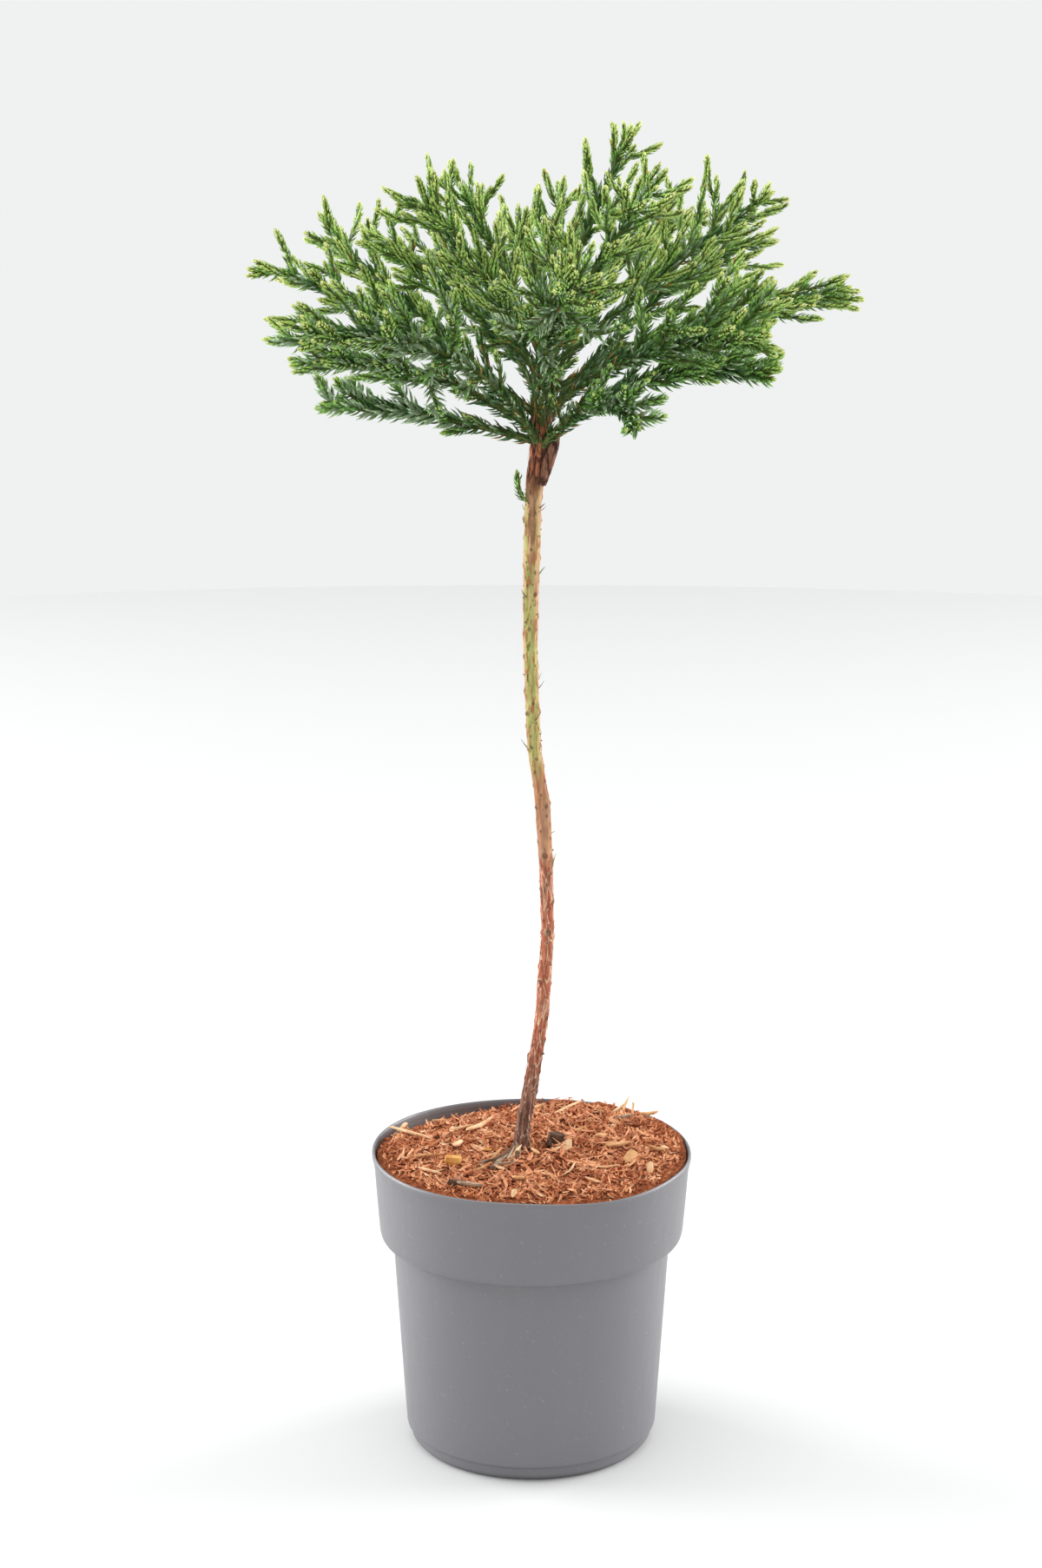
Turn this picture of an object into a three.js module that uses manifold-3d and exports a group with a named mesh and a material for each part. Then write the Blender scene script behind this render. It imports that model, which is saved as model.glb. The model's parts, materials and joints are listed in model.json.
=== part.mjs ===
// A grafted dwarf Japanese cedar, trained as a small standard, in its round nursery pot.
// Millimetres, +Z up. The origin is at the middle of the pot's flat underside.
import * as THREE from "three";
import { mergeVertices } from "three/addons/utils/BufferGeometryUtils.js";
import Module from "manifold-3d";

const wasm = await Module();
wasm.setup();

// ---------------------------------------------------------------- sizes

const SHORTEST_EDGES = [0.06, 0.04, 0.02, 0.01, 0.1, 0.15]; // the first that leaves a sound solid is used
const CLEAR = 0.35; // gap between neighbours that touch on the real plant
const POT_SIDES = 28;
const POT_FLOOR = 2;

// The pot's outside, from the middle of the underside up to the lip: [radius, height].
const POT_OUTSIDE = [
  [0, 0],
  [73, 0],
  [76.4, 3.5],
  [77.2, 9],
  [79.2, 10.5],
  [87.2, 133.5],
  [92.2, 134.5],
  [94.6, 136.5],
  [95.6, 140],
  [98.3, 181],
  [100, 183],
  [100, 190],
];

// The pot's inside, from the lip down to the floor.
const POT_INSIDE = [
  [98.4, 190],
  [96.8, 180],
  [94.0, 139.5],
  [92.4, 136.8],
  [85.7, 135.2],
  [77.5, 11],
  [74.6, POT_FLOOR],
  [0, POT_FLOOR],
];

const SOIL_TOP = 172;
const MULCH_FOOT = SOIL_TOP + CLEAR;
const MULCH_EDGE = 186;
const MULCH_MIDDLE = 191.5;
const MULCH_SLOPE = 0.035; // rises to the right, as it was thrown in
const MULCH_ROUGHNESS = 1.1;

// The trunk: [height, how far its middle stands to the right, radius].
const TRUNK = [
  [SOIL_TOP + CLEAR, -6.3, 7.8],
  [178, -6.3, 6.2],
  [188, -6, 5.3],
  [201, -6, 4.7],
  [245, 2, 4.25],
  [281, 7, 4.1],
  [333, 10, 4.0],
  [368, 9, 4.1],
  [411, 7, 4.4],
  [448, 1.5, 4.2],
  [511, -1, 4.3],
  [570, 0, 4.9],
  [605, 1, 5.1],
  [622, 4, 5.6],
  [630, 5, 5.9],
  [650, 6, 5.8],
  [670, 7, 4.8],
  [685, 7.75, 3.7],
  [700, 8.5, 2.5],
];
const TRUNK_SIDES = 8;
const ROOT_FLARE = 0.1; // how much the foot swells where the roots go out

// The cut rootstock stub beside the graft: [x, y, z, radius].
const STUB = [
  [5, -2.5, 610, 3.4],
  [9.5, -5, 622, 3.3],
  [13, -6.2, 633, 2.8],
  [15.5, -6.8, 642, 0.8],
];

// The sprig that the rootstock put out under the graft: [x, y, z].
const SPRIG = [
  [-2.5, -1, 598.5],
  [-6.6, -2, 603],
  [-8.2, -2.4, 609.5],
  [-8.8, -2.2, 617],
];

const LEADER_CLEAR = 1.25; // the leader's mass starts this far up from the trunk's tip
const BOUGH_SIDES = 5;
const BOUGH_STEPS = 2;
const BOUGH_FOOT = 2.6; // radius where it leaves the trunk
const BOUGH_TIP = 1.9; // radius where it enters its mass

// The crown. Each row is one limb: its name, the direction it leaves the trunk in (degrees,
// 0 to the right, 90 to the back), the height of its foot, how far out and how high its tip is,
// how much it arches and sweeps for its length, the share of it that is bare bough, the number
// of shoots on it, the length of the longest, and the seed that its shoots are dealt from.
// The crest has no bough: its mass stands on the trunk's tip.
const PLAN = [
  ["left_low", 176, 634, 130, 657, 0.07, 0.05, 0.35, 8, 45, 8377],
  ["left_front", -158, 639, 141, 687, 0.18, 0.02, 0.36, 11, 43, 3028],
  ["left_far", -177, 648, 160, 737, 0.12, 0.08, 0.24, 12, 39, 8184],
  ["left_back", 158, 635, 140, 752, 0.09, -0.01, 0.35, 12, 40, 6081],
  ["front_left", -140, 632, 175, 704, 0.27, 0.17, 0.42, 10, 51, 5620],
  ["front", -82, 643, 136, 737, 0.18, -0.06, 0.37, 11, 48, 8385],
  ["front_right", -64, 629, 126, 656, 0.33, 0.04, 0.38, 10, 41, 593],
  ["right_front", -36, 652, 153, 701, 0.19, 0.04, 0.38, 11, 52, 7765],
  ["right_low", -7, 632, 132, 674, 0.29, -0.04, 0.42, 10, 41, 9241],
  ["right_far", 9, 662, 181, 720, 0.10, 0.02, 0.35, 14, 44, 8484],
  ["right_back", 34, 641, 157, 747, 0.16, 0.04, 0.35, 10, 52, 8401],
  ["back_right", 56, 649, 155, 762, 0.19, 0.05, 0.33, 11, 53, 491],
  ["back", 95, 634, 166, 741, 0.25, -0.10, 0.35, 11, 43, 4872],
  ["back_left", 120, 655, 153, 742, 0.06, -0.08, 0.33, 11, 46, 3511],
  ["top_left", 175, 674, 97, 752, 0.07, 0.02, 0.15, 11, 41, 9201],
  ["top_left_front", -150, 663, 88, 780, 0.10, 0.17, 0.18, 10, 39, 2442],
  ["crest_left", 153, 680, 56, 785, -0.01, -0.05, 0.28, 9, 44, 6829],
  ["crest", -17, 700, 51, 820, -0.03, -0.05, 0.00, 10, 38, 1660],
  ["top_right", 11, 673, 139, 780, 0.04, 0.03, 0.18, 11, 51, 943],
  ["top_right_front", -51, 668, 100, 787, 0.09, -0.08, 0.15, 11, 44, 6889],
  ["top_back", 84, 690, 81, 769, -0.03, -0.03, 0.24, 10, 50, 5968],
];

const GOLDEN_ANGLE = 137.5;
const STRIDE = 7; // a shoot grows by this much at a time
const LIFT = 0.09; // and turns up by this much each time
const OWN_SPACE = 11.6; // how much nearer a shoot stays to its own limb than to any other
const TRUNK_SPACE = 12.5;
const CROWN_TOP = 824;
const CROWN_DROP = 97; // the crown's roof falls by this much to its rim
const CROWN_RIM = 190;
const CROWN_REACH = 197;
const CROWN_MIDDLE = 5;
const LIMB_SAMPLES = 14;

// A needle spray: a slim three-sided core with a whorl of three needles at each joint.
const SHOOT_PITCH = 14.6; // from one whorl to the next
const AXIS_CORE = 1.7;
const AXIS_NEEDLE = 6.3;
const SHOOT_CORE = 1.6;
const SHOOT_NEEDLE = 5.6;
const SHOOT_ROOTS = [0.12, 0.16, 0.21, 0.27, 0.34, 0.42]; // where it leaves its limb's middle

// ---------------------------------------------------------------- small sums on points

const radians = THREE.MathUtils.degToRad;
const at = (x, y, z) => new THREE.Vector3(x, y, z);

// An even stream of numbers from 0 to 1, the same each time for one seed.
function stream(seed) {
  let state = seed;
  return () => {
    state = (1664525 * state + 1013904223) % 4294967296;
    return state / 4294967296;
  };
}

// The trunk's middle at one height.
function trunkAt(z) {
  for (let i = 1; i < TRUNK.length; i++) {
    const [z0, x0] = TRUNK[i - 1];
    const [z1, x1] = TRUNK[i];
    if (z <= z1) return at(x0 + ((x1 - x0) * (z - z0)) / (z1 - z0), 0, z);
  }
  return at(TRUNK.at(-1)[1], 0, z);
}

function distanceToLine(point, line) {
  let nearest = Infinity;
  const along = new THREE.Vector3();
  const away = new THREE.Vector3();
  for (let i = 1; i < line.length; i++) {
    along.subVectors(line[i], line[i - 1]);
    away.subVectors(point, line[i - 1]);
    const share = THREE.MathUtils.clamp(away.dot(along) / along.lengthSq(), 0, 1);
    nearest = Math.min(nearest, away.addScaledVector(along, -share).length());
  }
  return nearest;
}

// ---------------------------------------------------------------- the growth rule

// One limb of the crown: a quadratic curve from the trunk's middle to the tip.
function limbFrom(row) {
  const [name, direction, foot, reach, tip, arch, sweep, bare, shoots, longest, seed] = row;
  const turn = radians(direction);
  const start = trunkAt(foot);
  const end = at(start.x + reach * Math.cos(turn), reach * Math.sin(turn), tip);
  const span = end.distanceTo(start);
  const middle = start.clone().add(end).multiplyScalar(0.5);
  middle.add(at(-Math.sin(turn) * sweep * span, Math.cos(turn) * sweep * span, arch * span));
  const curve = new THREE.QuadraticBezierCurve3(start, middle, end);
  const line = [];
  for (let i = 0; i <= LIMB_SAMPLES; i++) line.push(curve.getPoint(i / LIMB_SAMPLES));
  return { name, curve, line, span, bare, shoots, longest, seed };
}

const limbs = PLAN.map(limbFrom);
const trunkLine = TRUNK.map(([z, x]) => at(x, 0, z));

// Whether a point is inside the crown and in the space of limb number k.
function inOwnSpace(k, point) {
  const out = Math.hypot(point.x - CROWN_MIDDLE, point.y);
  if (out > CROWN_REACH) return false;
  if (point.z > CROWN_TOP - CROWN_DROP * (out / CROWN_RIM) ** 3) return false;
  if (distanceToLine(point, trunkLine) < TRUNK_SPACE) return false;
  const own = distanceToLine(point, limbs[k].line);
  return limbs.every(
    (limb, j) => j === k || distanceToLine(point, limb.line) >= own + OWN_SPACE,
  );
}

// A direction that spreads from another by one angle, at a turn round it.
function spreadFrom(direction, turn, spread) {
  const upright = Math.abs(direction.z) > 0.93 ? at(1, 0, 0) : at(0, 0, 1);
  const across = new THREE.Vector3().crossVectors(direction, upright).normalize();
  const over = new THREE.Vector3().crossVectors(across, direction);
  return direction
    .clone()
    .multiplyScalar(Math.cos(spread))
    .addScaledVector(across, Math.sin(spread) * Math.cos(turn))
    .addScaledVector(over, Math.sin(spread) * Math.sin(turn));
}

// A shoot grows stride by stride, turns up a little each time, and stops at the edge of its space.
function grow(k, start, heading, length) {
  const path = [start];
  const direction = heading.clone();
  const strides = Math.max(2, Math.floor(length / STRIDE + 0.5));
  for (let i = 0; i < strides; i++) {
    direction.z += LIFT;
    direction.normalize();
    const next = path.at(-1).clone().addScaledVector(direction, STRIDE);
    if (!inOwnSpace(k, next)) break;
    path.push(next);
  }
  return path;
}

// The shares of a limb's length at which its shoots leave it.
function shootPlaces({ bare, shoots }) {
  return Array.from({ length: shoots }, (_, i) => bare + ((1 - bare) * (i + 0.7) * 0.97) / shoots);
}

// The shoots of one limb, round it by the golden angle, shorter towards its tip.
function shootsOf(k) {
  const limb = limbs[k];
  const next = stream(limb.seed);
  const firstTurn = next() * 360;
  const paths = [];
  for (const [i, place] of shootPlaces(limb).entries()) {
    const [turnChance, spreadChance, lengthChance] = [next(), next(), next()];
    const share = (i + 0.7) / limb.shoots;
    const turn = radians(firstTurn + GOLDEN_ANGLE * i + 20 * (turnChance - 0.5));
    const spread = radians(34 + 16 * spreadChance);
    const heading = spreadFrom(limb.curve.getTangent(place), turn, spread);
    if (heading.z < -0.05) heading.z *= 0.35;
    heading.normalize();
    const length = limb.longest * (1 - 0.5 * share) * (0.75 + 0.5 * lengthChance);
    const path = grow(k, limb.curve.getPoint(place), heading, length);
    if (path.length > 2) paths.push(path);
  }
  return paths;
}

// ---------------------------------------------------------------- solids

function solidOf(geometry, nearness = 1e-4) {
  const bare = geometry.clone();
  bare.deleteAttribute("normal");
  bare.deleteAttribute("uv");
  const merged = mergeVertices(bare, nearness);
  return new wasm.Manifold(
    new wasm.Mesh({
      numProp: 3,
      vertProperties: merged.attributes.position.array,
      triVerts: new Uint32Array(merged.index.array),
    }),
  );
}

// Whether each edge of a solid has just two faces once its points are rounded.
function isPlainlyClosed(solid) {
  const { vertProperties, triVerts } = solid.getMesh();
  const names = [];
  for (let i = 0; i < vertProperties.length; i += 3) {
    names.push([0, 1, 2].map((j) => Math.round(vertProperties[i + j] * 1000)).join());
  }
  const uses = new Map();
  for (let i = 0; i < triVerts.length; i += 3) {
    for (let j = 0; j < 3; j++) {
      const edge = [names[triVerts[i + j]], names[triVerts[i + ((j + 1) % 3)]]];
      if (edge[0] === edge[1]) return false;
      const name = edge.sort().join(" ");
      uses.set(name, (uses.get(name) ?? 0) + 1);
    }
  }
  return [...uses.values()].every((count) => count === 2);
}

// A solid without the very short edges that fusing leaves: the two ends of each become one point.
function withoutSlivers(solid, shortest) {
  const { vertProperties, triVerts } = solid.getMesh();
  const points = [];
  for (let i = 0; i < vertProperties.length; i += 3) points.push(at(...vertProperties.slice(i, i + 3)));
  const stands = points.map((_, i) => i);
  const standsFor = (i) => {
    let found = i;
    while (stands[found] !== found) found = stands[found];
    return found;
  };
  for (let i = 0; i < triVerts.length; i += 3) {
    for (let j = 0; j < 3; j++) {
      const one = standsFor(triVerts[i + j]);
      const other = standsFor(triVerts[i + ((j + 1) % 3)]);
      if (one !== other && points[one].distanceTo(points[other]) < shortest) {
        stands[Math.max(one, other)] = Math.min(one, other);
      }
    }
  }
  const faces = [];
  for (let i = 0; i < triVerts.length; i += 3) {
    const [a, b, c] = [0, 1, 2].map((j) => standsFor(triVerts[i + j]));
    if (a !== b && b !== c && c !== a) faces.push(a, b, c);
  }
  const geometry = new THREE.BufferGeometry();
  geometry.setAttribute("position", new THREE.BufferAttribute(vertProperties, 3));
  geometry.setIndex(faces);
  return solidOf(geometry.toNonIndexed());
}

function geometryOf(solid) {
  const mesh = solid.getMesh();
  const geometry = new THREE.BufferGeometry();
  geometry.setAttribute("position", new THREE.BufferAttribute(mesh.vertProperties, mesh.numProp));
  geometry.setIndex(new THREE.BufferAttribute(mesh.triVerts, 1));
  geometry.computeVertexNormals();
  return geometry;
}

// A closed skin over rings of points, each ring with the same number of points.
function skin(rings) {
  const sides = rings[0].length;
  const positions = rings.flat().flatMap((p) => [p.x, p.y, p.z]);
  const faces = [];
  for (let i = 1; i < rings.length; i++) {
    const low = (i - 1) * sides;
    const high = i * sides;
    for (let j = 0; j < sides; j++) {
      const next = (j + 1) % sides;
      faces.push(low + j, low + next, high + next, low + j, high + next, high + j);
    }
  }
  const top = (rings.length - 1) * sides;
  for (let j = 1; j < sides - 1; j++) {
    faces.push(0, j + 1, j);
    faces.push(top, top + j, top + j + 1);
  }
  const geometry = new THREE.BufferGeometry();
  geometry.setAttribute("position", new THREE.Float32BufferAttribute(positions, 3));
  geometry.setIndex(faces);
  return geometry;
}

// Rings along a path, square to it, with no twist but the turn that each ring is given.
function ringsAlong(path, sides, ringAt) {
  const rings = [];
  let across = null;
  for (let i = 0; i < path.length; i++) {
    const before = path[Math.max(0, i - 1)];
    const after = path[Math.min(path.length - 1, i + 1)];
    const along = new THREE.Vector3().subVectors(after, before).normalize();
    if (!across) {
      const aside = Math.abs(along.z) > 0.9 ? at(1, 0, 0) : at(0, 0, 1);
      across = new THREE.Vector3().crossVectors(along, aside);
    }
    across.addScaledVector(along, -across.dot(along)).normalize();
    const over = new THREE.Vector3().crossVectors(along, across);
    const { radius, turn } = ringAt(i);
    const ring = [];
    for (let j = 0; j < sides; j++) {
      const angle = turn + (2 * Math.PI * j) / sides;
      ring.push(
        path[i]
          .clone()
          .addScaledVector(across, radius * Math.cos(angle))
          .addScaledVector(over, radius * Math.sin(angle)),
      );
    }
    rings.push(ring);
  }
  return rings;
}

// The point at one share of a polyline's length.
function pointAlong(path, share) {
  const legs = path.slice(1).map((point, i) => point.distanceTo(path[i]));
  let left = share * legs.reduce((sum, leg) => sum + leg, 0);
  for (let i = 0; i < legs.length; i++) {
    if (left <= legs[i] || i === legs.length - 1) {
      return path[i].clone().lerp(path[i + 1], Math.min(1, left / legs[i]));
    }
    left -= legs[i];
  }
  return path[0].clone();
}

// A needle spray along a path. From each joint of its slim core, given as shares of its length,
// a whorl of three needles points out and forwards, and every other whorl is turned by 60 degrees.
function spray(path, joints, core, needle, root) {
  const stops = [];
  if (joints[0] > 0) stops.push({ share: 0, radius: root, turn: 0 });
  for (let i = 0; i < joints.length - 1; i++) {
    const fade = 1 - 0.35 * joints[i] ** 2;
    const turn = (-Math.PI / 3) * i;
    const tips = joints[i] + 0.68 * (joints[i + 1] - joints[i]);
    stops.push({ share: joints[i], radius: joints[i] > 0 ? core * fade : root, turn });
    stops.push({ share: tips, radius: needle * fade, turn });
  }
  stops.push({ share: 1, radius: core * 0.5, turn: (-Math.PI / 3) * (joints.length - 1) });
  const middles = stops.map(({ share }) => pointAlong(path, share));
  return solidOf(skin(ringsAlong(middles, 3, (i) => stops[i])));
}

// Joints at even steps of about one length, after a bare lead.
function evenJoints(path, lead, pitch) {
  const length = path.slice(1).reduce((sum, point, i) => sum + point.distanceTo(path[i]), 0);
  const count = Math.max(1, Math.round((length - lead) / pitch));
  const first = lead / length;
  return Array.from({ length: count + 1 }, (_, i) => first + ((1 - first) * i) / count);
}

// ---------------------------------------------------------------- the pot and its fill

const turned = (profile) =>
  new THREE.LatheGeometry(
    profile.map(([radius, height]) => new THREE.Vector2(radius, height)),
    POT_SIDES,
  ).rotateX(Math.PI / 2);

const pot = solidOf(turned([...POT_OUTSIDE, ...POT_INSIDE]));

const insideRadius = (height) => {
  for (let i = 1; i < POT_INSIDE.length; i++) {
    const [r0, z0] = POT_INSIDE[i - 1];
    const [r1, z1] = POT_INSIDE[i];
    if (height >= z1) return r0 + ((r1 - r0) * (height - z0)) / (z1 - z0);
  }
  return 0;
};

const soil = solidOf(
  turned([
    [0, POT_FLOOR + CLEAR],
    [74.6 - 2 * CLEAR, POT_FLOOR + CLEAR],
    [77.5 - CLEAR - 0.1, 11],
    [85.7 - CLEAR - 0.1, 135.5],
    [92.4 - CLEAR - 0.1, 137.2],
    [94.0 - CLEAR - 0.1, 139.8],
    [insideRadius(SOIL_TOP) - CLEAR - 0.1, SOIL_TOP],
    [0, SOIL_TOP],
  ]),
);

const MULCH_RINGS = [0.97, 0.68, 0.32];

function mulchShape() {
  const wall = insideRadius(SOIL_TOP) - CLEAR - 0.1;
  const edge = insideRadius(MULCH_EDGE - 6) - CLEAR - 0.1;
  const profile = [[0, MULCH_FOOT], [wall, MULCH_FOOT], [edge, MULCH_EDGE - 6]];
  for (const share of MULCH_RINGS) {
    profile.push([edge * share, MULCH_EDGE + (MULCH_MIDDLE - MULCH_EDGE) * (1 - share ** 2)]);
  }
  profile.push([0, MULCH_MIDDLE]);
  const geometry = turned(profile);
  const place = geometry.attributes.position;
  for (let i = 0; i < place.count; i++) {
    const [x, y, z] = [place.getX(i), place.getY(i), place.getZ(i)];
    if (z < MULCH_EDGE - 1) continue;
    const rough = Math.sin(x / 6.1 + 1) * Math.cos(y / 7.3) + 0.6 * Math.sin(x / 11 - y / 5);
    place.setZ(i, z + MULCH_SLOPE * x + MULCH_ROUGHNESS * rough);
  }
  return solidOf(geometry);
}

// ---------------------------------------------------------------- the trunk

// The trunk's own shape, thicker all round by an allowance and carried below its foot.
function trunkShape(allowance, below) {
  const [footHeight, footX, footRadius] = TRUNK[0];
  const rows = below ? [[footHeight - below, footX, footRadius], ...TRUNK] : TRUNK;
  const rings = rows.map(([z, x, radius], i) => {
    const ring = [];
    const height = z + (i === rows.length - 1 ? allowance : 0);
    for (let j = 0; j < TRUNK_SIDES; j++) {
      const angle = (2 * Math.PI * j) / TRUNK_SIDES;
      const flare = z < 175 ? 1 + ROOT_FLARE * Math.cos(3 * angle + 0.6) : 1;
      const out = radius * flare + allowance;
      ring.push(at(x + out * Math.cos(angle), out * Math.sin(angle), height));
    }
    return ring;
  });
  return solidOf(skin(rings));
}

const stubShape = (allowance) =>
  solidOf(
    skin(
      ringsAlong(STUB.map(([x, y, z]) => at(x, y, z)), 7, (i) => ({
        radius: STUB[i][3] + allowance,
        turn: 0,
      })),
    ),
  );

const trunk = trunkShape(0, 0).add(stubShape(0));
const sleeve = trunkShape(CLEAR, 5).add(stubShape(CLEAR));
const mulch = mulchShape().subtract(sleeve);
const sprigPath = SPRIG.map(([x, y, z]) => at(x, y, z));
const sprig = spray(sprigPath, evenJoints(sprigPath, 0, 6), 1.1, 3, 1).subtract(sleeve);

// ---------------------------------------------------------------- boughs and masses

// The largest body of a fused solid, tidied so that it stays sound when it is read again, or
// nothing where that can't be had.
function tidied(fused) {
  for (const shortest of SHORTEST_EDGES) {
    const [body] = withoutSlivers(fused, shortest)
      .decompose()
      .sort((a, b) => b.volume() - a.volume());
    const readAgain = solidOf(geometryOf(body).toNonIndexed(), 1e-3);
    if (isPlainlyClosed(body) && isPlainlyClosed(readAgain)) return readAgain;
  }
  return null;
}

// The stretch of a limb between two shares of its length, as points.
function stretch(limb, from, to, count) {
  const points = [];
  for (let i = 0; i <= count; i++) points.push(limb.curve.getPoint(from + ((to - from) * i) / count));
  return points;
}

function boughOf(limb) {
  const path = stretch(limb, 0, limb.bare, BOUGH_STEPS);
  const radius = (i) => BOUGH_FOOT + (BOUGH_TIP - BOUGH_FOOT) * (i / BOUGH_STEPS);
  const shape = skin(ringsAlong(path, BOUGH_SIDES, (i) => ({ radius: radius(i), turn: 0 })));
  return solidOf(shape).subtract(sleeve);
}

// A mass: its needle-clad axis, jointed where its shoots leave it, with the shoots fused on.
function massOf(limb, k, root) {
  const from = limb.bare + (limb.bare > 0 ? CLEAR : LEADER_CLEAR) / limb.span;
  const places = shootPlaces(limb).filter((place) => place < 0.97);
  const joints = [0, ...places.map((place) => (place - from) / (1 - from)), 1];
  let mass = spray(stretch(limb, from, 1, 12), joints, AXIS_CORE, AXIS_NEEDLE, BOUGH_TIP);
  for (const path of shootsOf(k)) {
    mass = mass.add(spray(path, evenJoints(path, 0, SHOOT_PITCH), SHOOT_CORE, SHOOT_NEEDLE, root));
  }
  return mass;
}

// The mass with the thinnest shoot roots that fuse to a sound solid.
function soundMassOf(limb, k) {
  for (const root of SHOOT_ROOTS) {
    const sound = tidied(massOf(limb, k, root));
    if (sound) return sound;
  }
  throw new Error(`the shoots of ${limb.name} don't fuse`);
}

// ---------------------------------------------------------------- the whole

const PLASTIC = { color: 0x85858a, roughness: 0.55, metalness: 0 };
const EARTH = { color: 0x2e2118, roughness: 0.95, metalness: 0 };
const CHIPS = { color: 0xa4583a, roughness: 0.9, metalness: 0 };
const BARK = { color: 0x7a5540, roughness: 0.85, metalness: 0 };
const TWIG = { color: 0x6d6a3a, roughness: 0.8, metalness: 0 };
const NEEDLES = { color: 0x4f7a3c, roughness: 0.6, metalness: 0 };

const plant = new THREE.Group();

function place(name, solid, look) {
  const mesh = new THREE.Mesh(geometryOf(tidied(solid)), new THREE.MeshStandardMaterial(look));
  mesh.name = name;
  plant.add(mesh);
}

place("pot", pot, PLASTIC);
place("potting_soil", soil, EARTH);
place("bark_mulch", mulch, CHIPS);
place("trunk", trunk, BARK);
place("trunk_sprig", sprig, NEEDLES);
limbs.forEach((limb, k) => {
  if (limb.bare > 0) place(`bough_${limb.name}`, boughOf(limb), TWIG);
  place(`needles_${limb.name}`, soundMassOf(limb, k), NEEDLES);
});

export default plant;
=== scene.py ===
"""A dwarf Japanese cedar grafted on a clear stem, in its nursery pot with shredded bark mulch."""

import json
import math

import bpy
import numpy as np
from mathutils import Matrix, Vector, noise

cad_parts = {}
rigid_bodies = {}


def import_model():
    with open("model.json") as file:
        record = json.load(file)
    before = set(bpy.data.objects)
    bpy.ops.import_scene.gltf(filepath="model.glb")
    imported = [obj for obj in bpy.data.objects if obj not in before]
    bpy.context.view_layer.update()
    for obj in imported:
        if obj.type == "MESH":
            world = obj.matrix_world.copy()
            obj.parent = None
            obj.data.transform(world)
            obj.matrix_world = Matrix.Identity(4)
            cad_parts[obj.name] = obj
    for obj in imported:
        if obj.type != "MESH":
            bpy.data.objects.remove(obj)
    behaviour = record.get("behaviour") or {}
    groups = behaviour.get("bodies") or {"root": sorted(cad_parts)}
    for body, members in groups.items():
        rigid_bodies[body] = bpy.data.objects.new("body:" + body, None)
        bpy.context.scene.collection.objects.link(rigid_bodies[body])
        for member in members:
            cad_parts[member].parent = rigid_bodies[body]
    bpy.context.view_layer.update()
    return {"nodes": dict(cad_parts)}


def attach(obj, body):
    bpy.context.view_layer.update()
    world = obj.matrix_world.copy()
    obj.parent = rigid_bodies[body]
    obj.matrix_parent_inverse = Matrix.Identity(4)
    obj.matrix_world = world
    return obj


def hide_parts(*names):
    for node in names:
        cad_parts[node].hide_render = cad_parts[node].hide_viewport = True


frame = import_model()

# ---------------------------------------------------------------- sizes, in millimetres

MM = 0.001
CLEAR = 0.35  # gap between neighbours that touch on the real plant

# The pot, from the middle of its underside up its outside, over the lip and down its inside.
POT_PROFILE = [
    (0, 1.2), (66, 1.2), (69, 0), (73, 0), (76.4, 3.5), (77.2, 9), (79.2, 10.5), (82.6, 62),
    (86.9, 129), (87.3, 133.4), (91.9, 134.3), (93.3, 134.9), (94.9, 137), (95.6, 140.5),
    (97.2, 160), (98.6, 179), (99.4, 184), (100.3, 187.4), (100.2, 189.5), (99.3, 190.3),
    (98.5, 189.6), (98.0, 186), (96.8, 180), (95.6, 160), (94.0, 139.5), (92.4, 136.8),
    (85.7, 135.2), (81, 62), (77.5, 11), (74.6, 2), (0, 2),
]
POT_SIDES = 128
POT_CORNER = 0.9
POT_SHOULDER = 134  # the pot is round up to here, and above it the thin wall has bent
POT_LIP = 190
LIP_WAVES = ((0.8, 2, 0.5), (0.9, 4, 2.7))  # how far out it waves, times round, start
LIP_BULGE = math.radians(-62)  # where the lip has been pressed outward and down
LIP_OUT = 2.6
LIP_DOWN = 1.3
RINGS_OVER_LIP = 8  # from the top of the lip to where the inside's darker finish, painted shade, begins

SOIL_TOP = 172
MULCH_FOOT = SOIL_TOP + CLEAR
MULCH_EDGE = 188.6
MULCH_MIDDLE = 191.0
MULCH_HEAP = 4.0  # how much higher it is heaped against the lip, at the back on the right
HEAP_PLACE = (40, 88)  # its direction and its half width, in degrees
MULCH_HOLLOW = 8.0  # and how much lower it lies at the back on the left
HOLLOW_PLACE = (127, 52)
MULCH_LUMPS = ((21, 3.1, 2.6), (8, 7.7, 1.7))  # how wide, their layer of the noise, how high
MULCH_CRUMBS = ((2.2, 1.3, 0.8),)
MULCH_SETTLED = 1.2
MULCH_SKIRT = 0.985  # its underside is narrower by this
MULCH_RADIUS = 97.2
MULCH_HOLE = 1.5
MULCH_SIDES = 120
MULCH_RINGS = 44
SHRED_RADIUS = 84  # long shreds lie inside this, so that none goes through the pot
FIBRE_RADIUS = 90
CRUMB_RADIUS = 94.5

# The trunk: height, how far its middle stands to the right, radius.
TRUNK = [
    (MULCH_FOOT, -6.3, 7.8), (178, -6.3, 6.2), (188, -6, 5.3), (201, -6, 4.7), (245, 2, 4.25),
    (281, 7, 4.1), (333, 10, 4.0), (368, 9, 4.1), (411, 7, 4.4), (448, 1.5, 4.2),
    (511, -1, 4.3), (570, 0, 4.9), (605, 1, 5.1), (622, 4, 5.6), (630, 5, 5.9),
    (650, 6, 5.8), (670, 7, 4.8), (685, 7.75, 3.7), (700, 8.5, 2.5),
]
TRUNK_SIDES = 56
TRUNK_RING = 0.9  # from one ring of points to the next
TRUNK_BENDS = 13  # the bends are eased over this length
ROOT_FLARE = 0.1  # how much the foot swells where the roots go out

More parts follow.
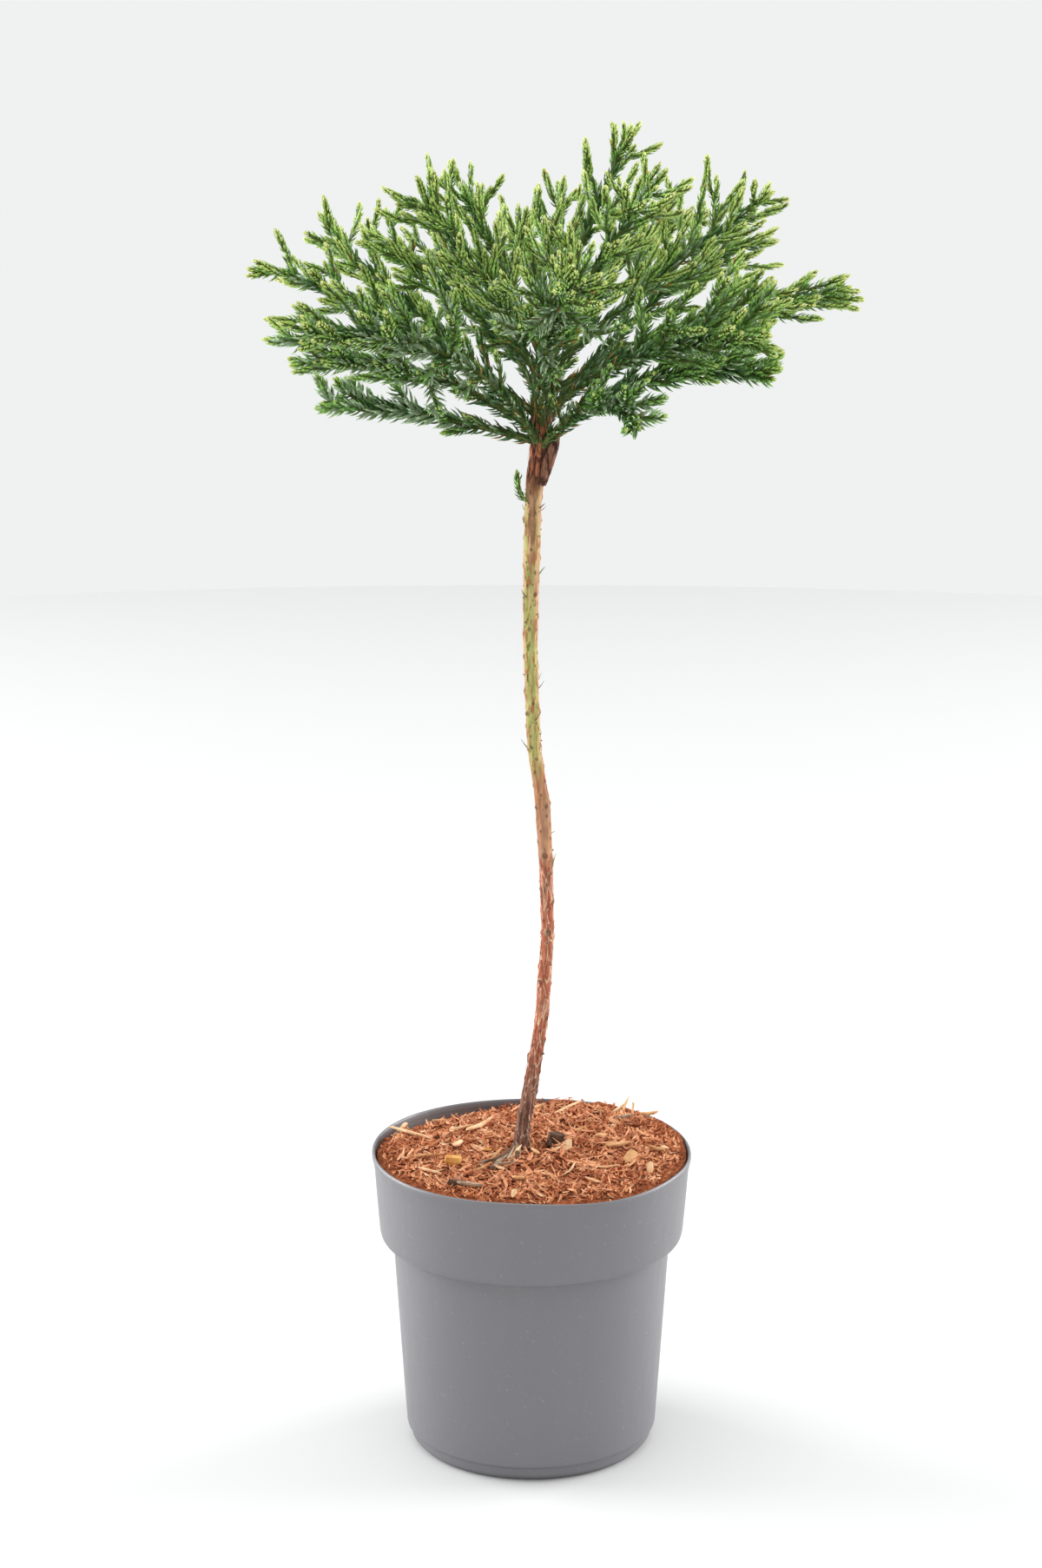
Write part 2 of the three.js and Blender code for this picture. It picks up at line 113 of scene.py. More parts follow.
# The cut rootstock beside the graft, and how thick it is at shares of its length.
STUB = [(5, -2.5, 610), (9.5, -5, 622), (13, -6.2, 633), (15.5, -6.8, 642)]
STUB_RADII = [(0, 3.4), (0.36, 3.4), (0.7, 3.0), (0.92, 1.9), (1, 0.5)]
STUB_SIDES = 26
STUB_RING = 0.8

# The sprig that the rootstock put out under the graft.
SPRIG = [(-2.5, -1, 598.5), (-6.6, -2, 603), (-8.2, -2.4, 609.5), (-8.8, -2.2, 617)]

# The crown's limbs: name, direction in degrees, height of the foot, reach, height of the tip,
# arch, sweep, bare share, number of shoots, longest shoot, seed.
PLAN = [
    ("left_low", 176, 634, 130, 657, 0.07, 0.05, 0.35, 8, 45, 8377),
    ("left_front", -158, 639, 141, 687, 0.18, 0.02, 0.36, 11, 43, 3028),
    ("left_far", -177, 648, 160, 737, 0.12, 0.08, 0.24, 12, 39, 8184),
    ("left_back", 158, 635, 140, 752, 0.09, -0.01, 0.35, 12, 40, 6081),
    ("front_left", -140, 632, 175, 704, 0.27, 0.17, 0.42, 10, 51, 5620),
    ("front", -82, 643, 136, 737, 0.18, -0.06, 0.37, 11, 48, 8385),
    ("front_right", -64, 629, 126, 656, 0.33, 0.04, 0.38, 10, 41, 593),
    ("right_front", -36, 652, 153, 701, 0.19, 0.04, 0.38, 11, 52, 7765),
    ("right_low", -7, 632, 132, 674, 0.29, -0.04, 0.42, 10, 41, 9241),
    ("right_far", 9, 662, 181, 720, 0.10, 0.02, 0.35, 14, 44, 8484),
    ("right_back", 34, 641, 157, 747, 0.16, 0.04, 0.35, 10, 52, 8401),
    ("back_right", 56, 649, 155, 762, 0.19, 0.05, 0.33, 11, 53, 491),
    ("back", 95, 634, 166, 741, 0.25, -0.10, 0.35, 11, 43, 4872),
    ("back_left", 120, 655, 153, 742, 0.06, -0.08, 0.33, 11, 46, 3511),
    ("top_left", 175, 674, 97, 752, 0.07, 0.02, 0.15, 11, 41, 9201),
    ("top_left_front", -150, 663, 88, 780, 0.10, 0.17, 0.18, 10, 39, 2442),
    ("crest_left", 153, 680, 56, 785, -0.01, -0.05, 0.28, 9, 44, 6829),
    ("crest", -17, 700, 51, 820, -0.03, -0.05, 0.00, 10, 38, 1660),
    ("top_right", 11, 673, 139, 780, 0.04, 0.03, 0.18, 11, 51, 943),
    ("top_right_front", -51, 668, 100, 787, 0.09, -0.08, 0.15, 11, 44, 6889),
    ("top_back", 84, 690, 81, 769, -0.03, -0.03, 0.24, 10, 50, 5968),
]
BLOOMING = {"left_low", "left_front", "front_left", "front", "front_right", "back_left"}
BLOOM, LITTLE_BLOOM = 0.55, 0.22  # the share of blue-green needles on those limbs and on others
SPARSE = {"left_low", "front_right"}  # their shoots bear no fingers

GOLDEN_ANGLE = 137.5
OWN_SPACE = 11.6  # how much nearer a shoot stays to its own limb than to any other
TRUNK_SPACE = 12.5
CROWN_TOP = 824
CROWN_DROP = 97  # the crown's roof falls by this much to its rim
CROWN_RIM = 190
CROWN_REACH = 197
CROWN_MIDDLE = 5
HEAD_MIDDLE = np.array((5.0, 0.0, 655.0))  # the fine twigs turn away from here
LIMB_SAMPLES = 14
LIMB_CLEAR = 0.035  # needles begin at this share of a limb, clear of the trunk
LIMB_POINTS = 25
LIMB_END = 0.8  # a limb bears fingers of its own from this share of its length on
LIMB_HEIGHTS = (650, 790)  # where the tips of the lowest and of the highest limbs are
SHADED_HEIGHTS = (650, 710)  # tips of limbs that the others shade, wholly and not at all

# Shoots, on the limbs.
STRIDE = 7  # a shoot grows by this much at a time
LIFT = 0.09  # and turns up by this much each time
SHOOT_GAP = 0.7  # the first one stands so much of a gap beyond the bare bough
SHOOT_SPAN = 0.97  # the share of the limb's outer part that they stand on
SHOOT_STRAY = 20  # degrees, round the limb
SHOOT_SPREAD = (34, 16)  # the least angle with the limb, and how much more it may be
SHOOT_SAG = (-0.05, 0.35)  # one that slopes down by more than this is lifted to such a share
SHOOT_TAPER = 0.5  # a limb's last shoot is shorter than its first by this share
SHOOT_LENGTH = (0.75, 0.5)  # the least share of its proper length, and how much more it may be
SHOOT_POINTS = 3  # one that is stopped before its third point is left out

# Fingers, on the shoots and the limbs' ends.
TWIG_STRIDE = 3.5
TWIG_POINTS = 4
FINGER_HEIGHTS = (680, 790)  # from the first to the second the fingers grow closer and livelier
FINGER_EVERY = 27
FINGER_CLOSER = 8  # at the top of the crown
FINGER_WIDER = 16  # in the shade
FINGER_PLACES = (0.16, 0.62)  # the share of the shoot before the first, and the share they fill
FINGER_STRAY = 40
FINGER_SPREAD = (26, 22)
FINGER_OPENER = 12  # degrees more at the top of the crown
FINGER_SAG = (-0.05, 0.5)
FINGER_LENGTH = (0.75, 8, 16)  # share of the shoot that is left, least over that, and most more
FINGER_LIFT = 0.015
FINGER_OUTWARD = 0.06
FINGER_MARGIN = -7  # a finger may reach this far past the middle between two limbs
PAST_LIMB = 13  # how much further out than its limb a finger may end

# Small shaded twigs, on the bare boughs.
INNER_TWIGS = 3
INNER_PLACES = (0.2, 0.16)  # the share of the limb before the first, and of the bough left out
INNER_SPREAD = (38, 26)
INNER_SAG = (-0.1, 0.5)
INNER_LENGTH = (15, 16)
INNER_MARGIN = -25
HANGING_SAMPLES = slice(3, 11)  # of the limbs, where the hanging twigs may grow from
HANGING_ENDS = [  # where small shaded twigs hang free under the crown and end in a star of needles
    (-54.2, -45, 658.9), (-42.4, -50, 669.4), (-64.5, -60, 681.0), (-60.6, -95, 708.9),
    (-17.5, -110, 713.8), (47.9, -110, 711.5), (-79.2, -90, 706.5), (13.3, -60, 678.9),
]

BOUGH_FOOT = 2.6  # radius where it leaves the trunk
BOUGH_TIP = 1.9  # radius where it enters its mass
BOUGH_COLLAR = 1.1
BOUGH_SIDES = 10
BOUGH_POINTS = 26
SHOOT_GIRTH = 1.1
TWIG_GIRTH = 0.85
HANGING_GIRTH = 0.8
STEM_TIP = 0.75

# Needles at the foot of each kind of stem: their length, and more in the shade; their lean in
# degrees, and more in the shade; their tone from 0 to 1, and more at the crown's top, by chance.
LIMB_NEEDLES = (9.0, 1.0, 46, 7, 0.08, 0.0, 0.0)
INNER_NEEDLES = (6.5, 0.0, 45, 0, 0.08, 0.0, 0.1)
SHOOT_NEEDLES = (8.4, 0.8, 47, 7, 0.2, 0.1, 0.12)
FINGER_NEEDLES = (7.0, 0.0, 45, 6, 0.32, 0.14, 0.14)
# And of the rest, whose length, lean and tone don't change.
STAR_NEEDLES = (8.0, 62, 0.3)
SPRIG_NEEDLES = (6.0, 44, 0.42)
TOP_NEEDLES = (9.0, 30, 0.16)

NEEDLE_PITCH = 0.52  # along the stem from one needle to the next
NEEDLE_TURN = 146.2  # round the stem from one needle to the next, which makes five slow spirals
YOUNG_END = 26  # how much of a shoot, from its tip back, carries young needles
YOUNG_NEEDLE = 3.3
YOUNG_LEAN = 25
YOUNG_GIRTH = 1.25  # the soft young stem is thicker than the wood behind it
TIP_TONES = (0.38, 0.36, 0.16)  # the tone of a tip, more in daylight, more on a lively stem
ROPES = (0.15, 0.7, 0.3)  # how like a rope stems end, more at the crown's top, more by chance
ROPE_SHORTER = 0.32  # by this share needles are shorter where the stem ends like a rope
ROPE_CLOSER = 9  # and by so many degrees they lie closer
TIP_LENGTH = 4.4  # the last stretch of a shoot, where the needles close over its bud
TIP_SHORTER = 0.4
TIP_CLOSER = 0.65
TIP_THINNER = 0.6
TIP_PALER = 0.25
OLD_FOOT = 45  # the first stretch of a limb, where needles are shorter, closer and often dry
OLDEST_TONE = 0.15  # only stems darker than this have such a foot
FOOT_SHORTER = 0.35
FOOT_CLOSER = 8
RUST = (0.006, 0.3)  # the share of dry needles anywhere, and more at such a foot
DAYLIT_HEIGHTS = (670, 765)  # the crown grows light towards its top
DAYLIT_REACH = (105, 180)  # and towards its rim
FINE_STEP = 1.6  # from one point of a needle-clad stem to the next
STEM_STEP = 3.6  # from one ring of its wood to the next

TOP_FOOT = 650  # the trunk is clad in needles from here up
TOP_COATS = 4  # and more closely than a shoot, because it is thicker
TOP_POINTS = 12

# ---------------------------------------------------------------- nodes


def paint(code):
    """A colour from its six-figure code, as light."""
    parts = [int(code[i : i + 2], 16) / 255 for i in (0, 2, 4)]
    return (*[p / 12.92 if p <= 0.04045 else ((p + 0.055) / 1.055) ** 2.4 for p in parts], 1)


class Number:
    """A number that a node gives, with the signs of sums that work on it."""

    def __init__(self, tree, socket):
        self.tree = tree
        self.socket = socket

    def worked(self, operation, first, second):
        """The number that one sum gives."""
        made = self.tree.node("ShaderNodeMath", {"operation": operation}, {0: first, 1: second})
        return Number(self.tree, made.outputs[0])

    def __add__(self, other):
        return self.worked("ADD", self, other)

    def __radd__(self, other):
        return self.worked("ADD", other, self)

    def __sub__(self, other):
        return self.worked("SUBTRACT", self, other)

    def __rsub__(self, other):
        return self.worked("SUBTRACT", other, self)

    def __mul__(self, other):
        return self.worked("MULTIPLY", self, other)

    def __rmul__(self, other):
        return self.worked("MULTIPLY", other, self)

    def __lt__(self, other):
        return self.worked("LESS_THAN", self, other)

    def rounded(self):
        return self.worked("ROUND", self, 0.0)


class Tree:
    """A tree of nodes, to which each call adds one."""

    def __init__(self, group):
        self.group = group

    @staticmethod
    def socket(sockets, name):
        if isinstance(name, int):
            return sockets[name]
        return next(s for s in sockets if s.name == name and s.enabled)

    def node(self, kind, settings=None, inputs=None):
        """A node of one kind: it is set first, and then its sockets get values or links."""
        made = self.group.nodes.new(kind)
        for name, value in (settings or {}).items():
            setattr(made, name, value)
        for name, value in (inputs or {}).items():
            target = self.socket(made.inputs, name)
            source = value.socket if isinstance(value, Number) else value
            if isinstance(source, bpy.types.NodeSocket):
                self.group.links.new(source, target)
            else:
                target.default_value = source
        return made

    def value(self, kind, settings=None, inputs=None, name=None):
        """The number that a new node gives."""
        made = self.node(kind, settings, inputs)
        if name is None:
            return Number(self, next(s for s in made.outputs if s.enabled))
        return Number(self, self.socket(made.outputs, name))

    def between(self, number, low, high):
        """0 below low, 1 above high, and smooth between them."""
        return self.value("ShaderNodeMapRange", {"interpolation_type": "SMOOTHSTEP"},
                          {"Value": number, "From Min": low, "From Max": high})


class Finish(Tree):
    """A material made of nodes that read the object's own coordinates."""

    def __init__(self, name, roughness, specular):
        self.material = bpy.data.materials.new(name)
        self.material.use_nodes = True
        super().__init__(self.material.node_tree)
        self.shader = self.group.nodes["Principled BSDF"]
        self.shader.inputs["Roughness"].default_value = roughness
        self.shader.inputs["Specular IOR Level"].default_value = specular
        self.place = self.node("ShaderNodeTexCoord").outputs["Object"]

    def grain(self, scale, detail, rough, stretch=(1, 1, 1)):
        """Noise of so many features to the metre, drawn out along an axis where it is told."""
        place = self.node("ShaderNodeMapping", None, {"Vector": self.place, "Scale": stretch})
        return self.value(
            "ShaderNodeTexNoise", None,
            {"Vector": place.outputs[0], "Scale": scale, "Detail": detail, "Roughness": rough},
            "Fac",
        )

    def cracks(self, scale, stretch):
        """How far the surface is from the wandering lines between long cells."""
        place = self.node("ShaderNodeMapping", None, {"Vector": self.place, "Scale": stretch})
        stir = self.node("ShaderNodeTexNoise", None,
                         {"Vector": place.outputs[0], "Scale": scale * 1.6, "Detail": 2.0})
        bent = self.node("ShaderNodeVectorMath", {"operation": "MULTIPLY_ADD"},
                         {0: stir.outputs["Color"], 1: (0.6 / scale,) * 3, 2: place.outputs[0]})
        return self.value("ShaderNodeTexVoronoi", {"feature": "DISTANCE_TO_EDGE"},
                          {"Vector": bent.outputs[0], "Scale": scale}, "Distance")

    def trait(self, name):
        """An attribute of the mesh."""
        return self.value("ShaderNodeAttribute", {"attribute_name": name}, None, "Fac")

    def blend(self, first, second, share):
        """One colour turning into another."""
        made = self.node("ShaderNodeMix", {"data_type": "RGBA"},
                         {"A": first, "B": second, "Factor": share})
        return self.socket(made.outputs, "Result")

    def tones(self, dark, light, number, low, high):
        """Dark where a number is below low, light where it is above high."""
        return self.blend(paint(dark), paint(light), self.between(number, low, high))

    def patched(self, colour, code, number, low, high, share):
        """A colour that another covers, up to a share, where a number goes from low to high."""
        return self.blend(colour, paint(code), self.between(number, low, high) * share)

    def lit(self, colour, roughness=None):
        """Gives the surface its colour, and its roughness where that changes over it."""
        self.group.links.new(colour, self.shader.inputs["Base Color"])
        if roughness is not None:
            self.group.links.new(roughness.socket, self.shader.inputs["Roughness"])

    def raised(self, height, strength, distance):
        """Gives the surface a fine relief that its mesh leaves out."""
        bump = self.node("ShaderNodeBump", None,
                         {"Height": height, "Strength": strength, "Distance": distance})
        self.group.links.new(bump.outputs["Normal"], self.shader.inputs["Normal"])


class Rule(Tree):
    """A Geometry Nodes tree with named inputs, whose chances are seeded one after another."""

    def __init__(self, name, inputs, first_seed=0):
        super().__init__(bpy.data.node_groups.new(name, "GeometryNodeTree"))
        self.next_seed = first_seed
        sockets = self.group.interface
        sockets.new_socket("Geometry", in_out="INPUT", socket_type="NodeSocketGeometry")
        for label, kind in inputs.items():
            sockets.new_socket(label, in_out="INPUT", socket_type="NodeSocket" + kind)
        sockets.new_socket("Geometry", in_out="OUTPUT", socket_type="NodeSocketGeometry")
        self.given = self.group.nodes.new("NodeGroupInput")
        self.result = self.group.nodes.new("NodeGroupOutput")

    def input(self, name):
        return Number(self, self.given.outputs[name])

    def trait(self, name, kind="FLOAT"):
        """An attribute of the mesh or of the points."""
        return self.value("GeometryNodeInputNamedAttribute", {"data_type": kind}, {"Name": name})

    def chance(self, low, high, kind="FLOAT"):
        """A number dealt to each point, between low and high."""
        seed = self.next_seed
        self.next_seed += 1
        return self.value("FunctionNodeRandomValue", {"data_type": kind},
                          {"Min": low, "Max": high, "Seed": seed})

    def facing(self, axis, vector):
        """A rotation that brings one axis to a vector."""
        return self.value("FunctionNodeAlignRotationToVector", {"axis": axis}, {"Vector": vector})

    def turned(self, rotation, axis, angle):
        """A rotation turned round one of its own axes."""
        by = self.value("FunctionNodeAxisAngleToRotation", None, {"Axis": axis, "Angle": angle})
        return self.value("FunctionNodeRotateRotation", {"rotation_space": "LOCAL"},
                          {"Rotation": rotation, "Rotate By": by})

    def even_curve(self, step):
        """The base's lines as curves, with a point at every step."""
        curve = self.value("GeometryNodeMeshToCurve", None, {"Mesh": self.input("Geometry")})
        return self.value("GeometryNodeResampleCurve", {"mode": "LENGTH"},
                          {"Curve": curve, "Length": step})

    def choices(self, name):
        """The shapes of a collection, to pick from by number."""
        return self.value(
            "GeometryNodeCollectionInfo", None,
            {"Collection": self.input(name), "Separate Children": True, "Reset Children": True},
        )

    def ends_with(self, geometry, end_material=None):
        """Ends the tree: instances become mesh, and the mesh gets its material.

        Where the shapes have another material at their outer end, it is given as well.
        """
        real = self.value("GeometryNodeRealizeInstances", None, {"Geometry": geometry})
        done = self.value("GeometryNodeSetMaterial", None,
                          {"Geometry": real, "Material": self.input("Material")})
        if end_material is not None:
            done = self.value(
                "GeometryNodeSetMaterial", None,
                {"Geometry": done, "Selection": self.trait("outer", "BOOLEAN"),
                 "Material": end_material},
            )
        self.group.links.new(done.socket, self.result.inputs[0])

    def grow(self, base, name, **values):
        """Runs the rule on a base and returns what it makes as a plain mesh object."""
        modifier = base.modifiers.new("rule", "NODES")
        modifier.node_group = self.group
        for item in self.group.interface.items_tree:
            if item.item_type == "SOCKET" and item.in_out == "INPUT" and item.name in values:
                modifier[item.identifier] = values[item.name]
        base.update_tag()
        graph = bpy.context.evaluated_depsgraph_get()
        mesh = bpy.data.meshes.new_from_object(base.evaluated_get(graph))
        base.modifiers.remove(modifier)
        mesh.name = name
        made = bpy.data.objects.new(name, mesh)
        bpy.context.scene.collection.objects.link(made)
        return made


# ---------------------------------------------------------------- meshes


def put(name, points, faces=(), edges=(), material=None, smooth=False, traits=None):
    """An object at the origin from points in millimetres, each point with its traits."""
    mesh = bpy.data.meshes.new(name)
    mesh.from_pydata((np.asarray(points, float) * MM).tolist(), edges, faces)
    for trait, values in (traits or {}).items():
        values = np.asarray(values, np.float32)
        kind = "FLOAT_VECTOR" if values.ndim == 2 else "FLOAT"
        attribute = mesh.attributes.new(trait, kind, "POINT")
        attribute.data.foreach_set("vector" if values.ndim == 2 else "value", values.ravel())
    if material is not None:
        mesh.materials.append(material)
    if smooth:
        mesh.polygons.foreach_set("use_smooth", [True] * len(mesh.polygons))
    mesh.update()
    made = bpy.data.objects.new(name, mesh)
    bpy.context.scene.collection.objects.link(made)
    return made


def skin(rings):
    """Points and faces of a closed skin over rings of points, with a point at each end."""
    rings = np.asarray(rings, float)
    count, sides = rings.shape[:2]
    points = np.vstack([rings.reshape(-1, 3), rings[0].mean(0), rings[-1].mean(0)])
    faces = []
    for i in range(count - 1):
        low, high = i * sides, (i + 1) * sides
        for j in range(sides):
            k = (j + 1) % sides
            faces.append((low + j, low + k, high + k, high + j))
    top = (count - 1) * sides
    for j in range(sides):
        k = (j + 1) % sides
        faces.append((k, j, count * sides))
        faces.append((top + j, top + k, count * sides + 1))
    return points, faces


def joined(parts):
    """Points and faces of several skins as one."""
    points, faces, start = [], [], 0
    for some_points, some_faces in parts:
        points.append(some_points)
        faces += [tuple(i + start for i in face) for face in some_faces]
        start += len(some_points)
    return np.vstack(points), faces


def unit(vector):
    """The vector with a length of 1."""
    return vector / max(1e-9, np.linalg.norm(vector))


def aside_of(direction, upright):
    """An axis well away from a direction: X where that stands so upright, Z otherwise."""
    return np.array((1.0, 0, 0)) if abs(direction[2]) > upright else np.array((0, 0, 1.0))


def rings_along(path, radii, sides, relief):
    """Rings square to a path, with no twist, each point pushed out by the relief there."""
    path = np.asarray(path, float)
    rings = []
    across = None
    length = 0.0
    for i, middle in enumerate(path):
        before, after = path[max(i - 1, 0)], path[min(i + 1, len(path) - 1)]
        along = unit(after - before)
        length += np.linalg.norm(middle - before)
        if across is None:
            across = np.cross(along, aside_of(along, 0.9))
        across = unit(across - along * np.dot(across, along))
        over = np.cross(along, across)
        ring = []
        for angle in around(sides):
            out = radii[i] + relief(angle, length)
            ring.append(middle + across * out * math.cos(angle) + over * out * math.sin(angle))
        rings.append(ring)
    return rings


def smooth_line(points, step):
    """A smooth curve through three points or more, with a point about every step."""
    points = np.asarray(points, float)
    padded = np.vstack([2 * points[0] - points[1], points, 2 * points[-1] - points[-2]])
    line = []
    for i in range(1, len(padded) - 2):
        a, b, c, d = padded[i - 1 : i + 3]
        count = max(1, int(round(np.linalg.norm(c - b) / step)))
        for j in range(count):
            t = j / count
            line.append(
                0.5 * (2 * b + (c - a) * t + (2 * a - 5 * b + 4 * c - d) * t * t
                       + (3 * b - a - 3 * c + d) * t ** 3)
            )
    line.append(points[-1])
    return np.array(line)


def hump(value, middle, half_width):
    """1 at the middle, 0 a half width away and beyond, smooth between."""
    near = max(0.0, 1 - abs(value - middle) / half_width)
    return near * near * (3 - 2 * near)


def ease(value, low, high):
    """0 below low, 1 above high, smooth between."""
    share = min(1.0, max(0.0, (value - low) / (high - low)))
    return share * share * (3 - 2 * share)


def apart(one, other):
    """The angle between two directions round an axis, both in radians."""
    return abs((one - other + math.pi) % (2 * math.pi) - math.pi)


def around(sides):
    """The angles of so many points round a circle."""
    return np.linspace(0, 2 * math.pi, sides, endpoint=False)


# ---------------------------------------------------------------- the growth rule


def stream(seed):
    """An even stream of numbers from 0 to 1, the same each time for one seed."""
    state, wrap = seed, 2**32
    while True:
        state = (1664525 * state + 1013904223) % wrap
        yield state / wrap


def trunk_at(height):
    """The trunk's middle at one height."""
    heights = [row[0] for row in TRUNK]
    return np.array((np.interp(height, heights, [row[1] for row in TRUNK]), 0.0, height))


class Limb:
    """One limb of the crown: a quadratic curve from the trunk's middle to the tip."""

    def __init__(self, row):
        (self.name, direction, foot, reach, tip, arch, sweep,
         self.bare, self.shoots, self.longest, self.seed) = row
        turn = math.radians(direction)
        self.start = trunk_at(foot)
        self.end = self.start + (reach * math.cos(turn), reach * math.sin(turn), tip - foot)
        self.size = np.linalg.norm(self.end - HEAD_MIDDLE)
        span = np.linalg.norm(self.end - self.start)
        bend = np.array((-math.sin(turn) * sweep, math.cos(turn) * sweep, arch)) * span
        self.middle = (self.start + self.end) / 2 + bend
        self.line = np.array([self.point(i / LIMB_SAMPLES) for i in range(LIMB_SAMPLES + 1)])

    def point(self, t):
        """Where it is at a share of its way."""
        return (1 - t) ** 2 * self.start + 2 * t * (1 - t) * self.middle + t * t * self.end

    def heading(self, t):
        """Which way it runs there."""
        return unit((1 - t) * (self.middle - self.start) + t * (self.end - self.middle))


limbs = [Limb(row) for row in PLAN]
limb_starts = np.array([limb.line[:-1] for limb in limbs])
limb_legs = np.array([limb.line[1:] - limb.line[:-1] for limb in limbs])
limb_leg_squares = (limb_legs**2).sum(-1)
trunk_line = np.array([(x, 0.0, z) for z, x, _ in TRUNK])
trunk_legs = trunk_line[1:] - trunk_line[:-1]
trunk_leg_squares = (trunk_legs**2).sum(-1)


def distances(point, starts, legs, leg_squares):
    """How far a point is from each leg of one or more lines."""
    away = point - starts
    share = np.clip((away * legs).sum(-1) / leg_squares, 0, 1)
    return np.linalg.norm(away - legs * share[..., None], axis=-1)


def in_own_space(k, point, margin):
    """Whether a point is inside the crown and, by a margin, nearer to limb k than to another."""
    out = math.hypot(point[0] - CROWN_MIDDLE, point[1])
    if out > CROWN_REACH or point[2] > CROWN_TOP - CROWN_DROP * (out / CROWN_RIM) ** 3:
        return False
    if distances(point, trunk_line[:-1], trunk_legs, trunk_leg_squares).min() < TRUNK_SPACE:
        return False
    to_limbs = distances(point, limb_starts, limb_legs, limb_leg_squares).min(-1)
    return bool(np.delete(to_limbs, k).min() >= to_limbs[k] + margin)


def leaving(parent, turn, spread, sag_limit):
    """The way in which a side stem leaves its parent's direction: it spreads from that by one
    angle, at a turn round it, both in degrees, and one that hangs too low is lifted."""
    turn, spread = math.radians(turn), math.radians(spread)
    across = unit(np.cross(parent, aside_of(parent, 0.93)))
    over = np.cross(across, parent)
    way = (
        parent * math.cos(spread)
        + across * math.sin(spread) * math.cos(turn)
        + over * math.sin(spread) * math.sin(turn)
    )
    lowest, share = sag_limit
    if way[2] < lowest:
        way[2] *= share
    return unit(way)


def grow(k, start, heading, length, stride, lift, outward=0.0, margin=OWN_SPACE):
    """A stem grows stride by stride, turns up a little, and stops at the edge of its space.

    A fine one also turns outward, away from the head of the trunk.
    """
    path = [start]
    direction = heading
    for _ in range(max(2, int(length / stride + 0.5))):
        direction = direction + outward * unit(path[-1] - HEAD_MIDDLE)
        direction[2] += lift
        direction = unit(direction)
        following = path[-1] + direction * stride
        past = np.linalg.norm(following - HEAD_MIDDLE) - limbs[k].size
        if not in_own_space(k, following, margin) or (outward and past > PAST_LIMB):
            break
        path.append(following)
    return path


def three(chance):
    """The next three chances: for a stem's turn, its spread and its length."""
    return next(chance), next(chance), next(chance)


def shoots_of(k):
    """The shoots of one limb, round it by the golden angle, shorter towards its tip."""
    limb = limbs[k]
    chance = stream(limb.seed)
    first_turn = next(chance) * 360
    least, more = SHOOT_SPREAD
    least_length, more_length = SHOOT_LENGTH
    paths = []
    for i in range(limb.shoots):
        turn_chance, spread_chance, length_chance = three(chance)
        share = (i + SHOOT_GAP) / limb.shoots
        place = limb.bare + (1 - limb.bare) * (i + SHOOT_GAP) * SHOOT_SPAN / limb.shoots
        turn = first_turn + GOLDEN_ANGLE * i + SHOOT_STRAY * (turn_chance - 0.5)
        way = leaving(limb.heading(place), turn, least + more * spread_chance, SHOOT_SAG)
        length = limb.longest * (1 - SHOOT_TAPER * share)
        length *= least_length + more_length * length_chance
        path = grow(k, limb.point(place), way, length, STRIDE, LIFT)
        if len(path) >= SHOOT_POINTS:
            paths.append(path)
    return paths


def fingers_of(k, number, path):
    """The fingers of a shoot or of a limb's outer end, by the same rule at a finer stride.

    They leave it at a narrow angle and run on beside it, about as far as its own tip.
    """
    chance = stream(limbs[k].seed * 31 + number * 977 + 5)
    line = np.array(path)
    length = np.linalg.norm(np.diff(line, axis=0), axis=1).sum()
    height = ease(limbs[k].end[2], *FINGER_HEIGHTS)
    shade = 1 - ease(limbs[k].end[2], *SHADED_HEIGHTS)
    count = 1 + int(length / (FINGER_EVERY - FINGER_CLOSER * height + FINGER_WIDER * shade))
    if limbs[k].name in SPARSE:
        count = 0
    first_turn = next(chance) * 360
    places = np.linspace(0, 1, len(line))
    first_place, span = FINGER_PLACES
    least, more = FINGER_SPREAD
    part, least_length, more_length = FINGER_LENGTH
    fingers = []
    for i in range(count):
        turn_chance, spread_chance, length_chance = three(chance)
        place = first_place + span * (i + 0.8 * turn_chance) / count
        start = np.array([np.interp(place, places, line[:, axis]) for axis in range(3)])
        leg = min(len(line) - 2, int(place * (len(line) - 1)))
        turn = first_turn + GOLDEN_ANGLE * i + FINGER_STRAY * (turn_chance - 0.5)
        spread = least + FINGER_OPENER * height + more * spread_chance
        way = leaving(unit(line[leg + 1] - line[leg]), turn, spread, FINGER_SAG)
        wanted = (1 - place) * length * part + least_length + more_length * length_chance
        finger = grow(k, start, way, wanted, TWIG_STRIDE, FINGER_LIFT * (3 * height - 0.8),
                      FINGER_OUTWARD, FINGER_MARGIN)
        if len(finger) >= TWIG_POINTS:
            fingers.append(finger)
    return fingers


def inner_twigs_of(k):
    """The small shaded twigs on the inner part of a limb, before its mass begins."""
    limb = limbs[k]
    chance = stream(limb.seed * 17 + 3)
    first_place, short_of = INNER_PLACES
    least, more = INNER_SPREAD
    least_length, more_length = INNER_LENGTH
    twigs = []
    for i in range(INNER_TWIGS if limb.bare > 0 else 0):
        turn_chance, spread_chance, length_chance = three(chance)
        place = first_place + (limb.bare - short_of) * (i + turn_chance) / INNER_TWIGS
        turn = GOLDEN_ANGLE * i + 360 * turn_chance
        way = leaving(limb.heading(place), turn, least + more * spread_chance, INNER_SAG)
        wanted = least_length + more_length * length_chance
        twig = grow(k, limb.point(place), way, wanted, TWIG_STRIDE, FINGER_LIFT,
                    FINGER_OUTWARD, INNER_MARGIN)
        if len(twig) >= TWIG_POINTS:
            twigs.append(twig)
    return twigs


